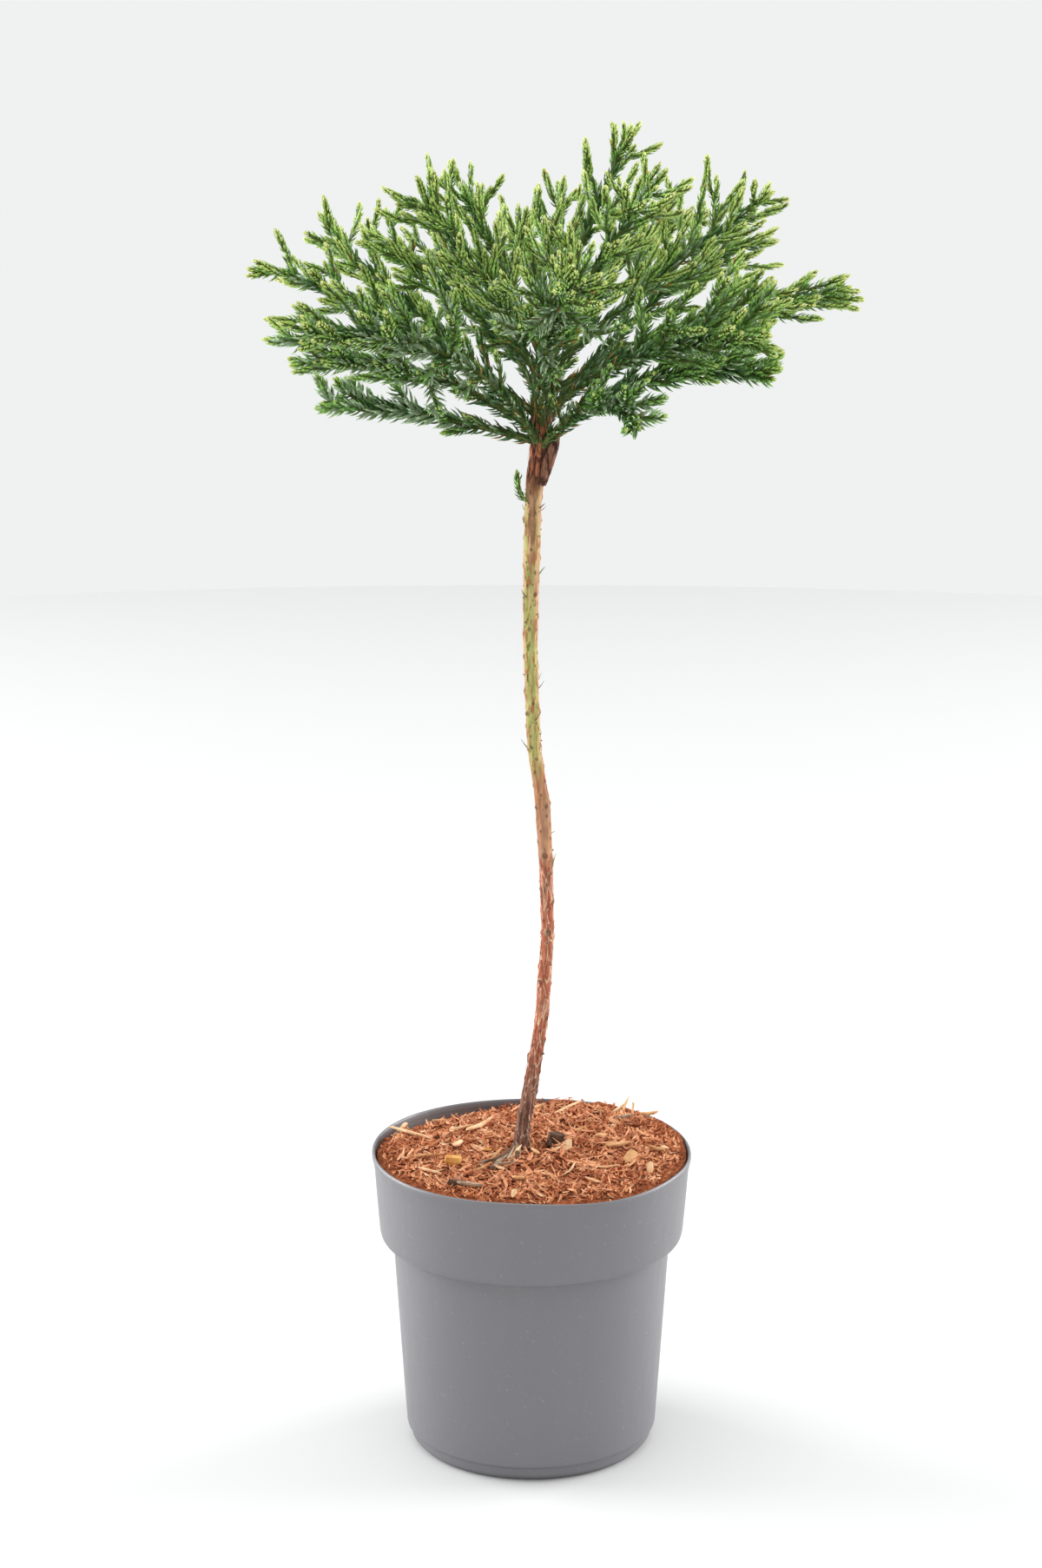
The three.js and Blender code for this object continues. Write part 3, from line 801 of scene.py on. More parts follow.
def hanging_twig(place):
    """A short twig from the nearest limb to a place in front of it, where it faces forward."""
    place = np.array(place, float)
    inner = [point for limb in limbs for point in limb.line[HANGING_SAMPLES]]
    start = min(inner, key=lambda point: np.linalg.norm(point - place))
    way = place - start
    bent = start + 0.55 * way + (0, 0, -0.22 * np.linalg.norm(way))
    front = place + (0.1 * way[0], -7, 1.5)
    return [start, bent, place, front]


# ---------------------------------------------------------------- needle-clad stems


class Stems:
    """Lines of points for the needle rule, each point with what its needles are like there."""

    def __init__(self):
        self.points = []
        self.edges = []
        self.traits = {}

    def add(self, line, **traits):
        """Takes in one line, with a value of every trait for each of its points."""
        start = len(self.points)
        line = np.asarray(line, float)
        legs = np.diff(line, axis=0)
        headings = np.vstack([legs[:1], (legs[:-1] + legs[1:]) / 2, legs[-1:]])
        headings /= np.linalg.norm(headings, axis=1)[:, None]
        self.points += list(line)
        self.edges += [(start + i, start + i + 1) for i in range(len(line) - 1)]
        for name, values in {"heading": headings, **traits}.items():
            self.traits.setdefault(name, []).extend(values)

    def made(self, name):
        """All the lines as one object."""
        traits = {trait: np.array(values) for trait, values in self.traits.items()}
        return put(name, self.points, edges=self.edges, traits=traits)


def daylight(point):
    """0 deep in the crown or under it, 1 on its top and its rim, where new growth is palest."""
    out = math.hypot(point[0] - CROWN_MIDDLE, point[1])
    return min(1.0, 0.75 * ease(point[2], *DAYLIT_HEIGHTS) + 0.5 * ease(out, *DAYLIT_REACH))


def clad(stems, path, kind, bloom, liveliness, foot_girth, rope):
    """Adds one stem, whose needles grow shorter, paler and closer to it towards its tip.

    kind gives the needles at its foot: their length, lean in degrees and tone from 0 to 1.
    rope is 0 where the stem ends like a brush and 1 where it ends like a braided rope.
    """
    length, lean, tone = kind
    length *= 1 - ROPE_SHORTER * rope
    lean -= ROPE_CLOSER * rope
    line = smooth_line(path, FINE_STEP)
    run = np.concatenate([[0], np.cumsum(np.linalg.norm(np.diff(line, axis=0), axis=1))])
    whole = run[-1]
    young = min(YOUNG_END * (0.8 + 0.4 * liveliness) * (0.55 + 0.7 * rope), 0.9 * whole)
    youth = np.clip(1 - (whole - run) / young, 0, 1)
    ripe = youth ** (1.25 - 0.5 * rope)
    end = np.clip(1 - (whole - run) / TIP_LENGTH, 0, 1)
    foot = np.clip(1 - run / OLD_FOOT, 0, 1) if tone < OLDEST_TONE else np.zeros(len(line))
    least_tone, lit_tone, lively_tone = TIP_TONES
    tip_tone = least_tone + lit_tone * daylight(line[-1]) + lively_tone * liveliness
    least_rust, foot_rust = RUST
    length = length * (1 - FOOT_SHORTER * foot) * (1 - ripe) + YOUNG_NEEDLE * ripe
    lean = (lean * (1 - ripe) + YOUNG_LEAN * ripe) * (1 - TIP_CLOSER * end) - FOOT_CLOSER * foot
    girth = np.linspace(foot_girth, STEM_TIP, len(line)) * (1 - ripe) + YOUNG_GIRTH * ripe
    stems.add(
        line,
        needle=length * (1 - TIP_SHORTER * end) * MM,
        lean=np.radians(lean),
        youth=ripe,
        tone=tone * (1 - youth) + tip_tone * youth + TIP_PALER * end,
        bloom=bloom * (1 - ripe) * (1 - foot),
        rust=least_rust + foot_rust * foot**2,
        girth=girth * (1 - TIP_THINNER * end) * MM,
    )
    return line[-1]


def needles_like(row, height, chance=0.0):
    """The needles of a kind of stem on a limb that reaches so high, from 0 to 1."""
    length, longer, lean, wider, tone, paler, scatter = row
    shade = 1 - height
    return length + longer * shade, lean + wider * shade, tone + paler * height + scatter * chance


def crown_stems():
    """All the needle-clad stems of the crown, and the points where they end."""
    stems = Stems()
    tips = []
    chance = stream(271828)
    least_rope, more_rope, rope_scatter = ROPES
    for k, limb in enumerate(limbs):
        bloom = BLOOM if limb.name in BLOOMING else LITTLE_BLOOM
        height = ease(limb.end[2], *LIMB_HEIGHTS)
        rope = least_rope + more_rope * height
        first = LIMB_CLEAR if limb.bare > 0 else 0
        line = [limb.point(t) for t in np.linspace(first, 1, LIMB_POINTS)]
        kind = needles_like(LIMB_NEEDLES, height)
        tips.append(clad(stems, line, kind, bloom, next(chance), BOUGH_FOOT * 0.8, rope))
        for twig in inner_twigs_of(k):
            kind = needles_like(INNER_NEEDLES, height, next(chance))
            tips.append(clad(stems, twig, kind, bloom * 0.6, next(chance), TWIG_GIRTH, 0.1))
        limb_end = [limb.point(t) for t in np.linspace(LIMB_END, 1, 6)]
        for number, shoot in enumerate([*shoots_of(k), limb_end]):
            if shoot is not limb_end:
                kind = needles_like(SHOOT_NEEDLES, height, next(chance))
                tips.append(clad(stems, shoot, kind, bloom, next(chance), SHOOT_GIRTH,
                                 rope + rope_scatter * (next(chance) - 0.5)))
            for finger in fingers_of(k, number, shoot):
                kind = needles_like(FINGER_NEEDLES, height, next(chance))
                tips.append(clad(stems, finger, kind, bloom * 0.7, next(chance), TWIG_GIRTH,
                                 rope + rope_scatter * (next(chance) - 0.5)))
    for place in HANGING_ENDS:
        twig = hanging_twig(place)
        tips.append(clad(stems, twig, STAR_NEEDLES, 0.75, next(chance), HANGING_GIRTH, 0.0))
    return stems, tips


# ---------------------------------------------------------------- the pot


def rounded(profile, corner):
    """A profile whose corners are short curves, each with a point close by on either side that
    keeps the shading of the faces beyond it flat."""
    done = [profile[0]]
    for before, here, after in zip(profile, profile[1:], profile[2:]):
        before, here, after = np.array(before), np.array(here), np.array(after)
        back = min(corner, 0.3 * np.linalg.norm(here - before))
        on = min(corner, 0.3 * np.linalg.norm(after - here))
        start = here + unit(before - here) * back
        end = here + unit(after - here) * on
        done.append(tuple(start + unit(before - here) * back * 0.5))
        for t in (0, 0.5, 1):
            done.append(tuple((1 - t) ** 2 * start + 2 * t * (1 - t) * here + t * t * end))
        done.append(tuple(end + unit(after - here) * on * 0.5))
    done.append(profile[-1])
    return done


def sag(angle, height):
    """How far thin plastic has bent out of round: most at the lip, none under the shoulder."""
    loose = max(0.0, (height - POT_SHOULDER) / (POT_LIP - POT_SHOULDER))
    out = 0.0
    for far, times, start in LIP_WAVES:
        out += far * math.cos(times * angle + start)
    return loose * (out + LIP_OUT * hump(apart(angle, LIP_BULGE), 0, 0.6))


def make_pot(outside, inside):
    """The pot as one wall, turned round its profile and bent at the lip, in two finishes, the inside's
    darker as painted shade.
    """
    profile = rounded(POT_PROFILE, POT_CORNER)
    lip_ring = max(range(len(profile)), key=lambda i: profile[i][1])
    rings = []
    for radius, height in profile[1:-1]:
        ring = []
        for angle in around(POT_SIDES):
            out = radius + sag(angle, height)
            bulge = hump(apart(angle, LIP_BULGE), 0, 0.7)
            droop = LIP_DOWN * bulge * ease(height, POT_SHOULDER - 9, POT_LIP)
            ring.append((out * math.cos(angle), out * math.sin(angle), height - droop))
        rings.append(ring)
    points, faces = skin(rings)
    pot = put("nursery_pot", points, faces, material=outside, smooth=True)
    pot.data.materials.append(inside)
    first_inside = (lip_ring + RINGS_OVER_LIP) * POT_SIDES
    for face in pot.data.polygons:
        if min(face.vertices) >= first_inside:
            face.material_index = 1
    return pot


# ---------------------------------------------------------------- the mulch


def lumps_at(x, y, rows):
    """How much some rows of lumps raise or lower one place."""
    lumps = 0.0
    for width, layer, height in rows:
        lumps += noise.noise(Vector((x / width, y / width, layer))) * height
    return lumps


def mulch_height(x, y):
    """How high the mulch lies at one place, under its loose pieces."""
    out = min(1.0, math.hypot(x, y) / MULCH_RADIUS)
    direction = math.degrees(math.atan2(y, x))
    edge = MULCH_EDGE + MULCH_HEAP * hump(direction, *HEAP_PLACE)
    edge -= MULCH_HOLLOW * hump(direction, *HOLLOW_PLACE)
    dome = edge + (MULCH_MIDDLE - edge) * (1 - out**4)
    return dome + lumps_at(x, y, MULCH_LUMPS) - MULCH_SETTLED


def make_mulch_bed(material):
    """The mass of mulch under the loose pieces, with where each size of piece may lie."""
    covers = {"crumb_cover": CRUMB_RADIUS, "fibre_cover": FIBRE_RADIUS, "shred_cover": SHRED_RADIUS}
    traits = {name: [] for name in covers}
    rings = []
    for i in range(MULCH_RINGS + 1):
        radius = MULCH_HOLE + (MULCH_RADIUS - MULCH_HOLE) * i / MULCH_RINGS
        ring = []
        for angle in around(MULCH_SIDES):
            reach = radius + sag(angle, POT_LIP - 2) * (radius / MULCH_RADIUS) ** 3
            x, y = reach * math.cos(angle), reach * math.sin(angle)
            ring.append((x, y, mulch_height(x, y) + lumps_at(x, y, MULCH_CRUMBS)))
        rings.append(ring)
        for name, limit in covers.items():
            traits[name] += [float(radius < limit)] * MULCH_SIDES
    rings.append([(x * MULCH_SKIRT, y * MULCH_SKIRT, MULCH_FOOT) for x, y, _ in rings[-1]])
    points, faces = skin(rings)
    for values in traits.values():
        values += [0.0] * MULCH_SIDES + [1.0, 0.0]
    return put("mulch_bed", points, [face[::-1] for face in faces], material=material,
               smooth=True, traits=traits)


def shred_shape(name, length, width, thick, curl, seed):
    """A torn strip of bark fibre along X, ragged at both ends, with its middle lowest."""
    chance = stream(seed)
    bend = curl * (0.6 + 0.8 * next(chance))
    sway = 0.2 * (next(chance) - 0.5)
    rings = []
    for i, swell in enumerate((0.45, 1, 0.75 + 0.4 * next(chance), 0.35)):
        t = i / 3 + 0.1 * (next(chance) - 0.5)
        x = (t - 0.5) * length
        y = sway * length * math.sin(3 * t)
        z = bend * length * (4 * (t - 0.5) ** 2) + 0.4
        slant = 0.3 * width * (next(chance) - 0.5)
        rings.append([
            (x - slant, y - width * swell / 2, z),
            (x + slant, y + width * swell / 2, z + 0.1 * width),
            (x, y + 0.1 * width, z + thick * swell),
        ])
    points, faces = skin(rings)
    return put(name, points, faces)


def chip_rings(length, width, thick, seed):
    """A flat torn chip: a ragged plate with bevelled edges."""
    chance = stream(seed)
    outline = []
    for corner in around(CHIP_CORNERS):
        angle = corner + 0.5 * (next(chance) - 0.5)
        reach = 0.6 + 0.55 * next(chance)
        outline.append((length / 2 * reach * math.cos(angle), width / 2 * reach * math.sin(angle)))
    warp = 0.25 * (next(chance) - 0.3)

    def level(scale, z):
        return [(x * scale, y * scale, z + warp * abs(x)) for x, y in outline]

    return [level(0.86, 0), level(1, thick * 0.4), level(0.9, thick)]


def chip_shape(name, length, width, thick, seed):
    """Such a chip as an object of its own."""
    points, faces = skin(chip_rings(length, width, thick, seed))
    return put(name, points, faces)


CHIP_CORNERS = 7
CHIPS = [  # kind, x, y, length, width, thickness, direction, tilt, lift
    ("amber", -50, -33, 13, 11, 5.0, 20, 10, 1.6), ("amber", -27, -8, 9, 6, 1.6, 70, 20, 2.0),
    ("pale", -83, 47, 15, 4, 1.2, 48, -24, 4.0), ("pale", -78, 22, 36, 2.2, 1.4, -33, 3, 3.4),
    ("pale", -32, 33, 32, 2.8, 1.4, 52, -4, 3.6), ("pale", -45, 30, 26, 1.8, 1.2, 40, 4, 3.2),
    ("grey", -20, -33, 33, 2.6, 1.6, 64, -6, 3.0), ("grey", -13, -22, 25, 2.0, 1.4, 74, -10, 3.8),
    ("grey", -27, -32, 22, 2.2, 1.4, 48, 5, 2.8), ("dark", -17, -25, 24, 2.6, 1.6, 57, -8, 3.2),
    ("dark", -24, -42, 16, 2.4, 1.6, 78, 6, 2.6), ("pale", -10, -14, 15, 2.2, 1.2, 55, -26, 4.0),
    ("tan", -22, -26, 27, 1.8, 1.2, 70, -3, 4.2), ("grey", -15, -38, 19, 1.8, 1.2, 30, 4, 3.4),
    ("tan", -30, -44, 20, 1.6, 1.2, 60, 3, 3.0), ("dark", -9, -22, 12, 3.0, 2.0, 86, -14, 3.2),
    ("pale", -25, -20, 16, 1.4, 1.0, 38, -5, 4.2), ("grey", -8, -10, 13, 2.6, 1.4, 110, -30, 3.6),
    ("dark", 15, 5, 13, 10, 7.5, 10, 12, 1.0), ("dark", 11, -3, 9, 6, 4.0, 80, 30, 1.4),
    ("pale", 22, -4, 12, 7, 1.4, 70, -42, 3.6), ("pale", 3, -12, 10, 3.4, 1.2, -40, 20, 3.0),
    ("tan", 53, -1, 20, 6.5, 1.6, 4, -4, 3.4), ("tan", 62, -26, 13, 9, 1.6, 60, -34, 3.4),
    ("tan", 79, -8, 15, 5, 1.4, -20, 8, 2.8), ("tan", 44, 12, 10, 6, 1.6, 30, 8, 2.8),
    ("pale", 73, -44, 10, 4, 1.0, 80, -60, 4.6), ("tan", 76, 53, 17, 4, 1.4, -12, -8, 4.0),
    ("pale", 61, 66, 16, 2.6, 1.2, 55, -44, 4.6), ("pale", 66, 62, 12, 2.2, 1.2, 80, -62, 5.0),
    ("pale", 57, 62, 13, 2.0, 1.2, 20, -30, 4.2), ("pale", 23, 70, 34, 2.0, 1.2, 51, -4, 3.8),
    ("pale", -11, -89, 8, 5, 1.2, 80, -50, 3.6), ("grey", -38, -70, 16, 3.4, 1.8, -8, 5, 2.8),
    ("dark", -45, -66, 12, 6, 3.4, -15, 6, 1.6), ("tan", 31, 30, 17, 2.4, 1.2, 40, -8, 3.2),
    ("tan", 4, 74, 13, 4, 1.4, 15, -20, 3.6), ("grey", 60, 48, 15, 3, 1.4, 12, -6, 3.2),
    ("tan", -58, 54, 14, 3, 1.2, -30, -10, 3.0), ("pale", 38, -66, 12, 3, 1.0, -30, 6, 3.0),
    ("pale", -62, -48, 20, 1.8, 1.2, -28, 3, 3.2), ("tan", -70, -20, 22, 2.4, 1.2, 12, -3, 3.2),
    ("pale", -46, 2, 9, 6, 1.4, 30, -18, 3.0), ("tan", 12, -52, 18, 2.6, 1.2, -50, 4, 3.0),
    ("pale", 46, -40, 16, 1.8, 1.0, 20, 4, 3.0), ("tan", -8, -62, 11, 5, 1.4, 25, 10, 2.8),
]


def make_chips(kind, material):
    """The single chips of one kind, each where it lies on the mulch."""
    parts = []
    for number, (this, x, y, length, width, thick, direction, tilt, lift) in enumerate(CHIPS):
        if this != kind:
            continue
        points, faces = skin(chip_rings(length, width, thick, 900 + 7 * number))
        turn = Matrix.Rotation(math.radians(direction), 3, "Z")
        turn = turn @ Matrix.Rotation(math.radians(tilt), 3, "Y")
        points = points @ np.array(turn).T + (x, y, mulch_height(x, y) + lift)
        parts.append((points, faces))
    points, faces = joined(parts)
    return put(f"mulch_{kind}_chips", points, faces, material=material)


def shapes_in(name, shapes):
    """A collection of shapes for a rule to pick from."""
    collection = bpy.data.collections.new(name)
    bpy.context.scene.collection.children.link(collection)
    for shape in shapes:
        bpy.context.scene.collection.objects.unlink(shape)
        collection.objects.link(shape)
    return collection


def clear_shapes(*collections):
    """Takes away the shapes that rules have picked from."""
    for collection in collections:
        for shape in list(collection.objects):
            bpy.data.objects.remove(shape)
        bpy.data.collections.remove(collection)


def scatter_rule():
    """Deals shapes over a surface, where its cover is, each turned, tipped and sized by chance."""
    rule = Rule("scatter_rule", {
        "Density": "Float", "Seed": "Int", "Smallest": "Float", "Largest": "Float",
        "Spin": "Float", "Tip": "Float", "Rise": "Float", "Cover": "String",
        "Shapes": "Collection", "Material": "Material",
    }, first_seed=11)
    cover = rule.trait(rule.input("Cover"))
    dealt = rule.node(
        "GeometryNodeDistributePointsOnFaces", {"distribute_method": "RANDOM"},
        {"Mesh": rule.input("Geometry"), "Density": rule.input("Density") * cover,
         "Seed": rule.input("Seed")},
    )
    normal = dealt.outputs["Normal"]
    along = rule.value(
        "FunctionNodeAlignRotationToVector", {"axis": "X", "pivot_axis": "Z"},
        {"Rotation": rule.facing("Z", normal), "Vector": (0, 0, 1)},
    )
    spun = rule.turned(along, (0, 0, 1), rule.chance(-1.0, 1.0) * rule.input("Spin"))
    tipped = rule.turned(spun, (0, 1, 0), rule.chance(-1.0, 1.0) * rule.input("Tip"))
    rolled = rule.turned(tipped, (1, 0, 0), rule.chance(-0.6, 0.6) * rule.input("Tip"))
    lift = rule.node("ShaderNodeVectorMath", {"operation": "SCALE"},
                     {"Vector": normal, "Scale": rule.chance(-0.4, 1.0) * rule.input("Rise")})
    raised = rule.value("GeometryNodeSetPosition", None,
                        {"Geometry": dealt.outputs["Points"], "Offset": lift.outputs[0]})
    share = rule.chance(0.0, 1.0)
    size = rule.input("Smallest") + (rule.input("Largest") - rule.input("Smallest")) * share
    placed = rule.value(
        "GeometryNodeInstanceOnPoints", None,
        {"Points": raised, "Instance": rule.choices("Shapes"), "Pick Instance": True,
         "Instance Index": rule.chance(0, 64, "INT"), "Rotation": rolled, "Scale": size},
    )
    rule.ends_with(placed)
    return rule


# ---------------------------------------------------------------- needles


def needle_shape(name, width, curve, levels):
    """A needle of unit length along Z: three-sided, keeled outside, its tip bent back to +Y.

    levels gives the height of each ring and its half width. The tip beyond the last of them
    bears the outer material, lighter than the foot's as painted light on the tip.
    """
    rings = []
    for t, half in levels:
        y = curve * t * t
        rings.append([
            (-half * width, y + 0.32 * half * width, t),
            (half * width, y + 0.32 * half * width, t),
            (0, y - 0.8 * half * width, t),
        ])
    points = [p for ring in rings for p in ring] + [(0, curve, 1.0)]
    faces = [(2, 1, 0)]
    for low in range(0, 3 * len(levels) - 3, 3):
        for j in range(3):
            k = (j + 1) % 3
            faces.append((low + j, low + k, low + 3 + k, low + 3 + j))
    last = 3 * len(levels) - 3
    for j in range(3):
        faces.append((last + j, last + (j + 1) % 3, last + 3))
    made = put(name, np.array(points) / MM, faces)
    outer = made.data.attributes.new("outer", "BOOLEAN", "FACE")
    outer.data.foreach_set("value", [len(points) - 1 in face for face in faces])
    return made


def needle_rule():
    """Clads stems with the needles of one shade. Each point along a stem gets a needle, turned
    on round it from the last, that leans out from it and bends back in, and each needle is of
    the shade that its place gives, give or take."""
    rule = Rule("needle_rule", {
        "Pitch": "Float", "Shade": "Float", "Shades": "Float", "Needles": "Collection",
        "Material": "Material", "Outer Material": "Material",
    }, first_seed=21)
    even = rule.even_curve(rule.input("Pitch"))
    turn = rule.value("GeometryNodeInputIndex") * math.radians(NEEDLE_TURN)
    along = rule.facing("Z", rule.trait("heading", "FLOAT_VECTOR"))
    rolled = rule.turned(along, (0, 0, 1), turn + rule.chance(-0.16, 0.16))
    leaning = rule.turned(rolled, (1, 0, 0), rule.trait("lean") * rule.chance(0.82, 1.2))
    outward = rule.node("ShaderNodeCombineXYZ", None, {"Y": rule.trait("girth") * -1.0})
    root = rule.value("FunctionNodeRotateVector", None,
                      {"Vector": outward.outputs[0], "Rotation": rolled})
    placed = rule.value("GeometryNodeSetPosition", None, {"Geometry": even, "Offset": root})

    youth = rule.trait("youth")
    last = rule.input("Shades") - 1.0
    level = rule.trait("tone") * last + rule.chance(-0.75, 0.75) * (1 - youth * 0.4)
    level = level.rounded()
    level = level.worked("MINIMUM", level, last)
    level = level.worked("MAXIMUM", level, 0.0)
    blooms = rule.chance(0.0, 1.0) < rule.trait("bloom")
    level = level * (1 - blooms) + rule.input("Shades") * blooms
    rusts = rule.chance(0.0, 1.0) < rule.trait("rust")
    level = level * (1 - rusts) + (rule.input("Shades") + 1.0) * rusts
    gap = level - rule.input("Shade")
    chosen = gap.worked("ABSOLUTE", gap, 0.0) < 0.5

    kept = rule.chance(0.0, 1.0) < (youth * 0.25 + 0.65)
    size = rule.trait("needle") * rule.chance(0.85, 1.12)
    shape = (youth * 2.0 + rule.chance(-0.35, 0.35)).rounded()
    dealt = rule.value(
        "GeometryNodeInstanceOnPoints", None,
        {"Points": placed, "Selection": chosen * kept, "Instance": rule.choices("Needles"),
         "Pick Instance": True, "Instance Index": shape, "Rotation": leaning, "Scale": size},
    )
    rule.ends_with(dealt, rule.input("Outer Material"))
    return rule


def stem_rule():
    """The stems themselves, as tapering tubes inside their needles, whose dark green also serves as
    painted shade in the gaps between the needles.
    """
    rule = Rule("stem_rule", {"Step": "Float", "Least": "Float", "Material": "Material"})
    even = rule.even_curve(rule.input("Step"))
    ring = rule.value("GeometryNodeCurvePrimitiveCircle", None, {"Resolution": 4, "Radius": 1.0})
    thickness = rule.trait("girth") * 1.15 + rule.input("Least")
    tube = rule.value(
        "GeometryNodeCurveToMesh", None,
        {"Curve": even, "Profile Curve": ring, "Scale": thickness, "Fill Caps": True},
    )
    rule.ends_with(tube)
    return rule


# ---------------------------------------------------------------- the bark


# Where the bark changes, each time from one height to another.
DARK_FOOT = (212, 272)  # dark and fissured below, red above
SANDY_FROM = (366, 396)
GREEN_FROM = (424, 446)  # the green stem between the sandy bark and the graft
GREEN_TO = (606, 616)
HEAD_FROM = (600, 616)  # the shaggy swelling of the graft
LEAFY_FROM = (640, 656)  # the leader's bark, green between its needles
SPINY_FROM = (330, 450)  # single needles still stand on the stem
SPINY_TO = (598, 604)
NUBBY_FROM = (192, 200)  # stumps of shed needles, from here up
STRAP_FROM = (550, 558)  # the graft's bark, from its point on the rootstock up
STRAP_WIDENS = (552, 590)
STRAP_MIDDLE = -math.pi / 2 - 0.12  # the angle round the trunk at which it runs down

KNOTS = [  # height, angle round the trunk in degrees (-90 is the front), size, how far it stands
    (381, -96, 2.4, 1.0), (332, -80, 2.6, 1.3), (412, -60, 1.8, 0.9), (352, -20, 1.9, 1.1),
    (300, -128, 2.0, 0.9), (262, -40, 2.2, 1.0), (236, -70, 2.6, 1.2), (214, -150, 2.4, 1.2),
    (198, -60, 2.6, 0.8), (290, 90, 2.4, 1.2), (345, 130, 2.0, 1.1), (250, 170, 2.2, 1.2),
    (404, 60, 2.0, 0.9), (470, -140, 1.6, 0.7), (522, -100, 1.7, 0.7), (498, 40, 1.9, 0.9),
    (543, -60, 1.8, 0.8), (560, 150, 2.0, 1.0), (446, 100, 1.8, 0.8), (588, -170, 2.2, 1.2),
]
SCARS = 150


def bud_scars():
    """Small scars, each where a needle or a bud once stood, in loose spirals up the trunk."""
    chance = stream(4242)
    scars = []
    for i in range(SCARS):
        height = 190 + 2.75 * i + 2 * next(chance)
        turn = (GOLDEN_ANGLE * i + 30 * next(chance)) % 360
        size = 0.9 + 0.5 * next(chance)
        scars.append((height, turn, size, 0.35 + 0.35 * next(chance)))
    return scars


def tongue(angle, height):
    """The strip of the graft's bark that runs down the front of the rootstock to a point."""
    half = 0.6 * ease(height, *STRAP_WIDENS) + 0.03 * math.sin(height * 0.7)
    width = 1 - ease(apart(angle, STRAP_MIDDLE), half * 0.75, half + 0.12)
    return width * ease(height, *STRAP_FROM)


def bark_at(angle, height):
    """The bark at one point of the trunk: how far it stands out, and its traits."""
    c, s = math.cos(angle), math.sin(angle)
    fibre = noise.noise(Vector((3.1 * c, 3.1 * s, height * 0.075)))
    strip = noise.noise(Vector((2.3 * c + 4, 2.3 * s, height * 0.038)))
    fine = noise.noise(Vector((8 * c, 8 * s, height * 0.3)))
    wave = noise.noise(Vector((1.2 * c, 1.2 * s + 9, height * 0.02)))
    blotch = noise.noise(Vector((2.4 * c, 2.4 * s + 5, height * 0.13)))
    head = ease(height, *HEAD_FROM)
    strap = tongue(angle, height)
    green = ease(height + 8 * strip, *GREEN_FROM) * (1 - ease(height, *GREEN_TO)) * (1 - strap)
    low = 1 - ease(height + 14 * strip, *DARK_FOOT)
    tan = ease(height + 30 * strip, *SANDY_FROM)
    flake = ease(strip, 0.0, 0.16)
    patch = ease(blotch, 0.14, 0.34)
    rough = 0.6 * low + 0.34 * (1 - low) * (1 - green) + 0.13 * green + 0.5 * head
    out = rough * (fibre + 0.9 * (flake - 0.5)) + 0.16 * fine * (1 - 0.5 * green) + 0.35 * wave
    out += 0.5 * strap * (1 - ease(height, 600, 625)) + 0.5 * head * fibre
    out += 0.22 * green * patch
    return out, {
        "leafy": ease(height, *LEAFY_FROM),
        "flake": flake,
        "low": low,
        "tan": tan,
        "green": green,
        "strap": strap,
        "head": head,
        # edge marks the trunk's left and right sides as seen from the front, where the green stem gets
        # painted side light.
        "edge": ease(abs(c) + 0.5 * wave + 0.4 * fibre, 0.62, 0.95),
        "patch": patch,
        "peeling": (1 - green) * (0.35 + 0.65 * max(low, head)) * (1 - 0.6 * tan * (1 - head)),
    }


def marks_at(marks, angle, height, radius):
    """How far knots and scars stand out at one point, and how much of it is on one, to 1."""
    out, knot = 0.0, 0.0
    for mark_height, degrees, size, stand, dented in marks:
        aside = apart(angle, math.radians(degrees)) * radius
        away = math.hypot(aside, (height - mark_height) * 0.8) / size
        bulge = hump(away, 0, 1.6)
        out += stand * (bulge - (0.45 * hump(away, 0, 0.55) if dented else 0))
        knot = max(knot, bulge)
    return out, knot


def make_trunk(material):
    """The trunk with the relief of its bark, its knots and its scars."""
    rows = np.array(TRUNK)
    fine = np.arange(140, 740, 1.0)
    window = np.ones(TRUNK_BENDS) / TRUNK_BENDS
    middles = np.convolve(np.interp(fine, rows[:, 0], rows[:, 1]), window, "same")
    radii = np.convolve(np.interp(fine, rows[:, 0], rows[:, 2]), window, "same")
    marks = [(*knot, True) for knot in KNOTS] + [(*scar, False) for scar in bud_scars()]
    rings = []
    traits = {name: [] for name in (*bark_at(0.0, 400.0)[1], "knot", "spiny", "shaggy", "nubby")}
    for height in np.arange(TRUNK[0][0], TRUNK[-1][0] + 0.01, TRUNK_RING):
        x = np.interp(height, fine, middles)
        radius = np.interp(height, fine, radii)
        near = [mark for mark in marks if abs(mark[0] - height) < 2.2 * mark[2]]
        flare = ROOT_FLARE * (1 - ease(height, 174, 184))
        ring = []
        for angle in around(TRUNK_SIDES):
            out, found = bark_at(angle, height)
            stand, knot = marks_at(near, angle, height, radius)
            out += stand
            out += radius * (1 + flare * math.cos(3 * angle + 0.6))
            ring.append((x + out * math.cos(angle), out * math.sin(angle), height))
            found["knot"] = knot
            found["spiny"] = ease(height, *SPINY_FROM) * (1 - ease(height, *SPINY_TO))
            found["shaggy"] = found["head"] * (1 - found["leafy"])
            found["nubby"] = ease(height, *NUBBY_FROM) * (1 - 0.7 * found["head"])
            for name, value in found.items():
                traits[name].append(value)
        rings.append(ring)
    points, faces = skin(rings)
    for values in traits.values():
        values += [values[0], values[-1]]
    return put("trunk_bark", points, faces, material=material, smooth=True, traits=traits)


def stub_relief(angle, run):
    """How far the stub's bark stands out: long ridges and a finer grain."""
    c, s = math.cos(angle), math.sin(angle)
    ridge = noise.noise(Vector((2.6 * c, 2.6 * s, run * 0.06)))
    return 0.75 * ridge + 0.2 * noise.noise(Vector((7 * c, 7 * s, run * 0.4)))


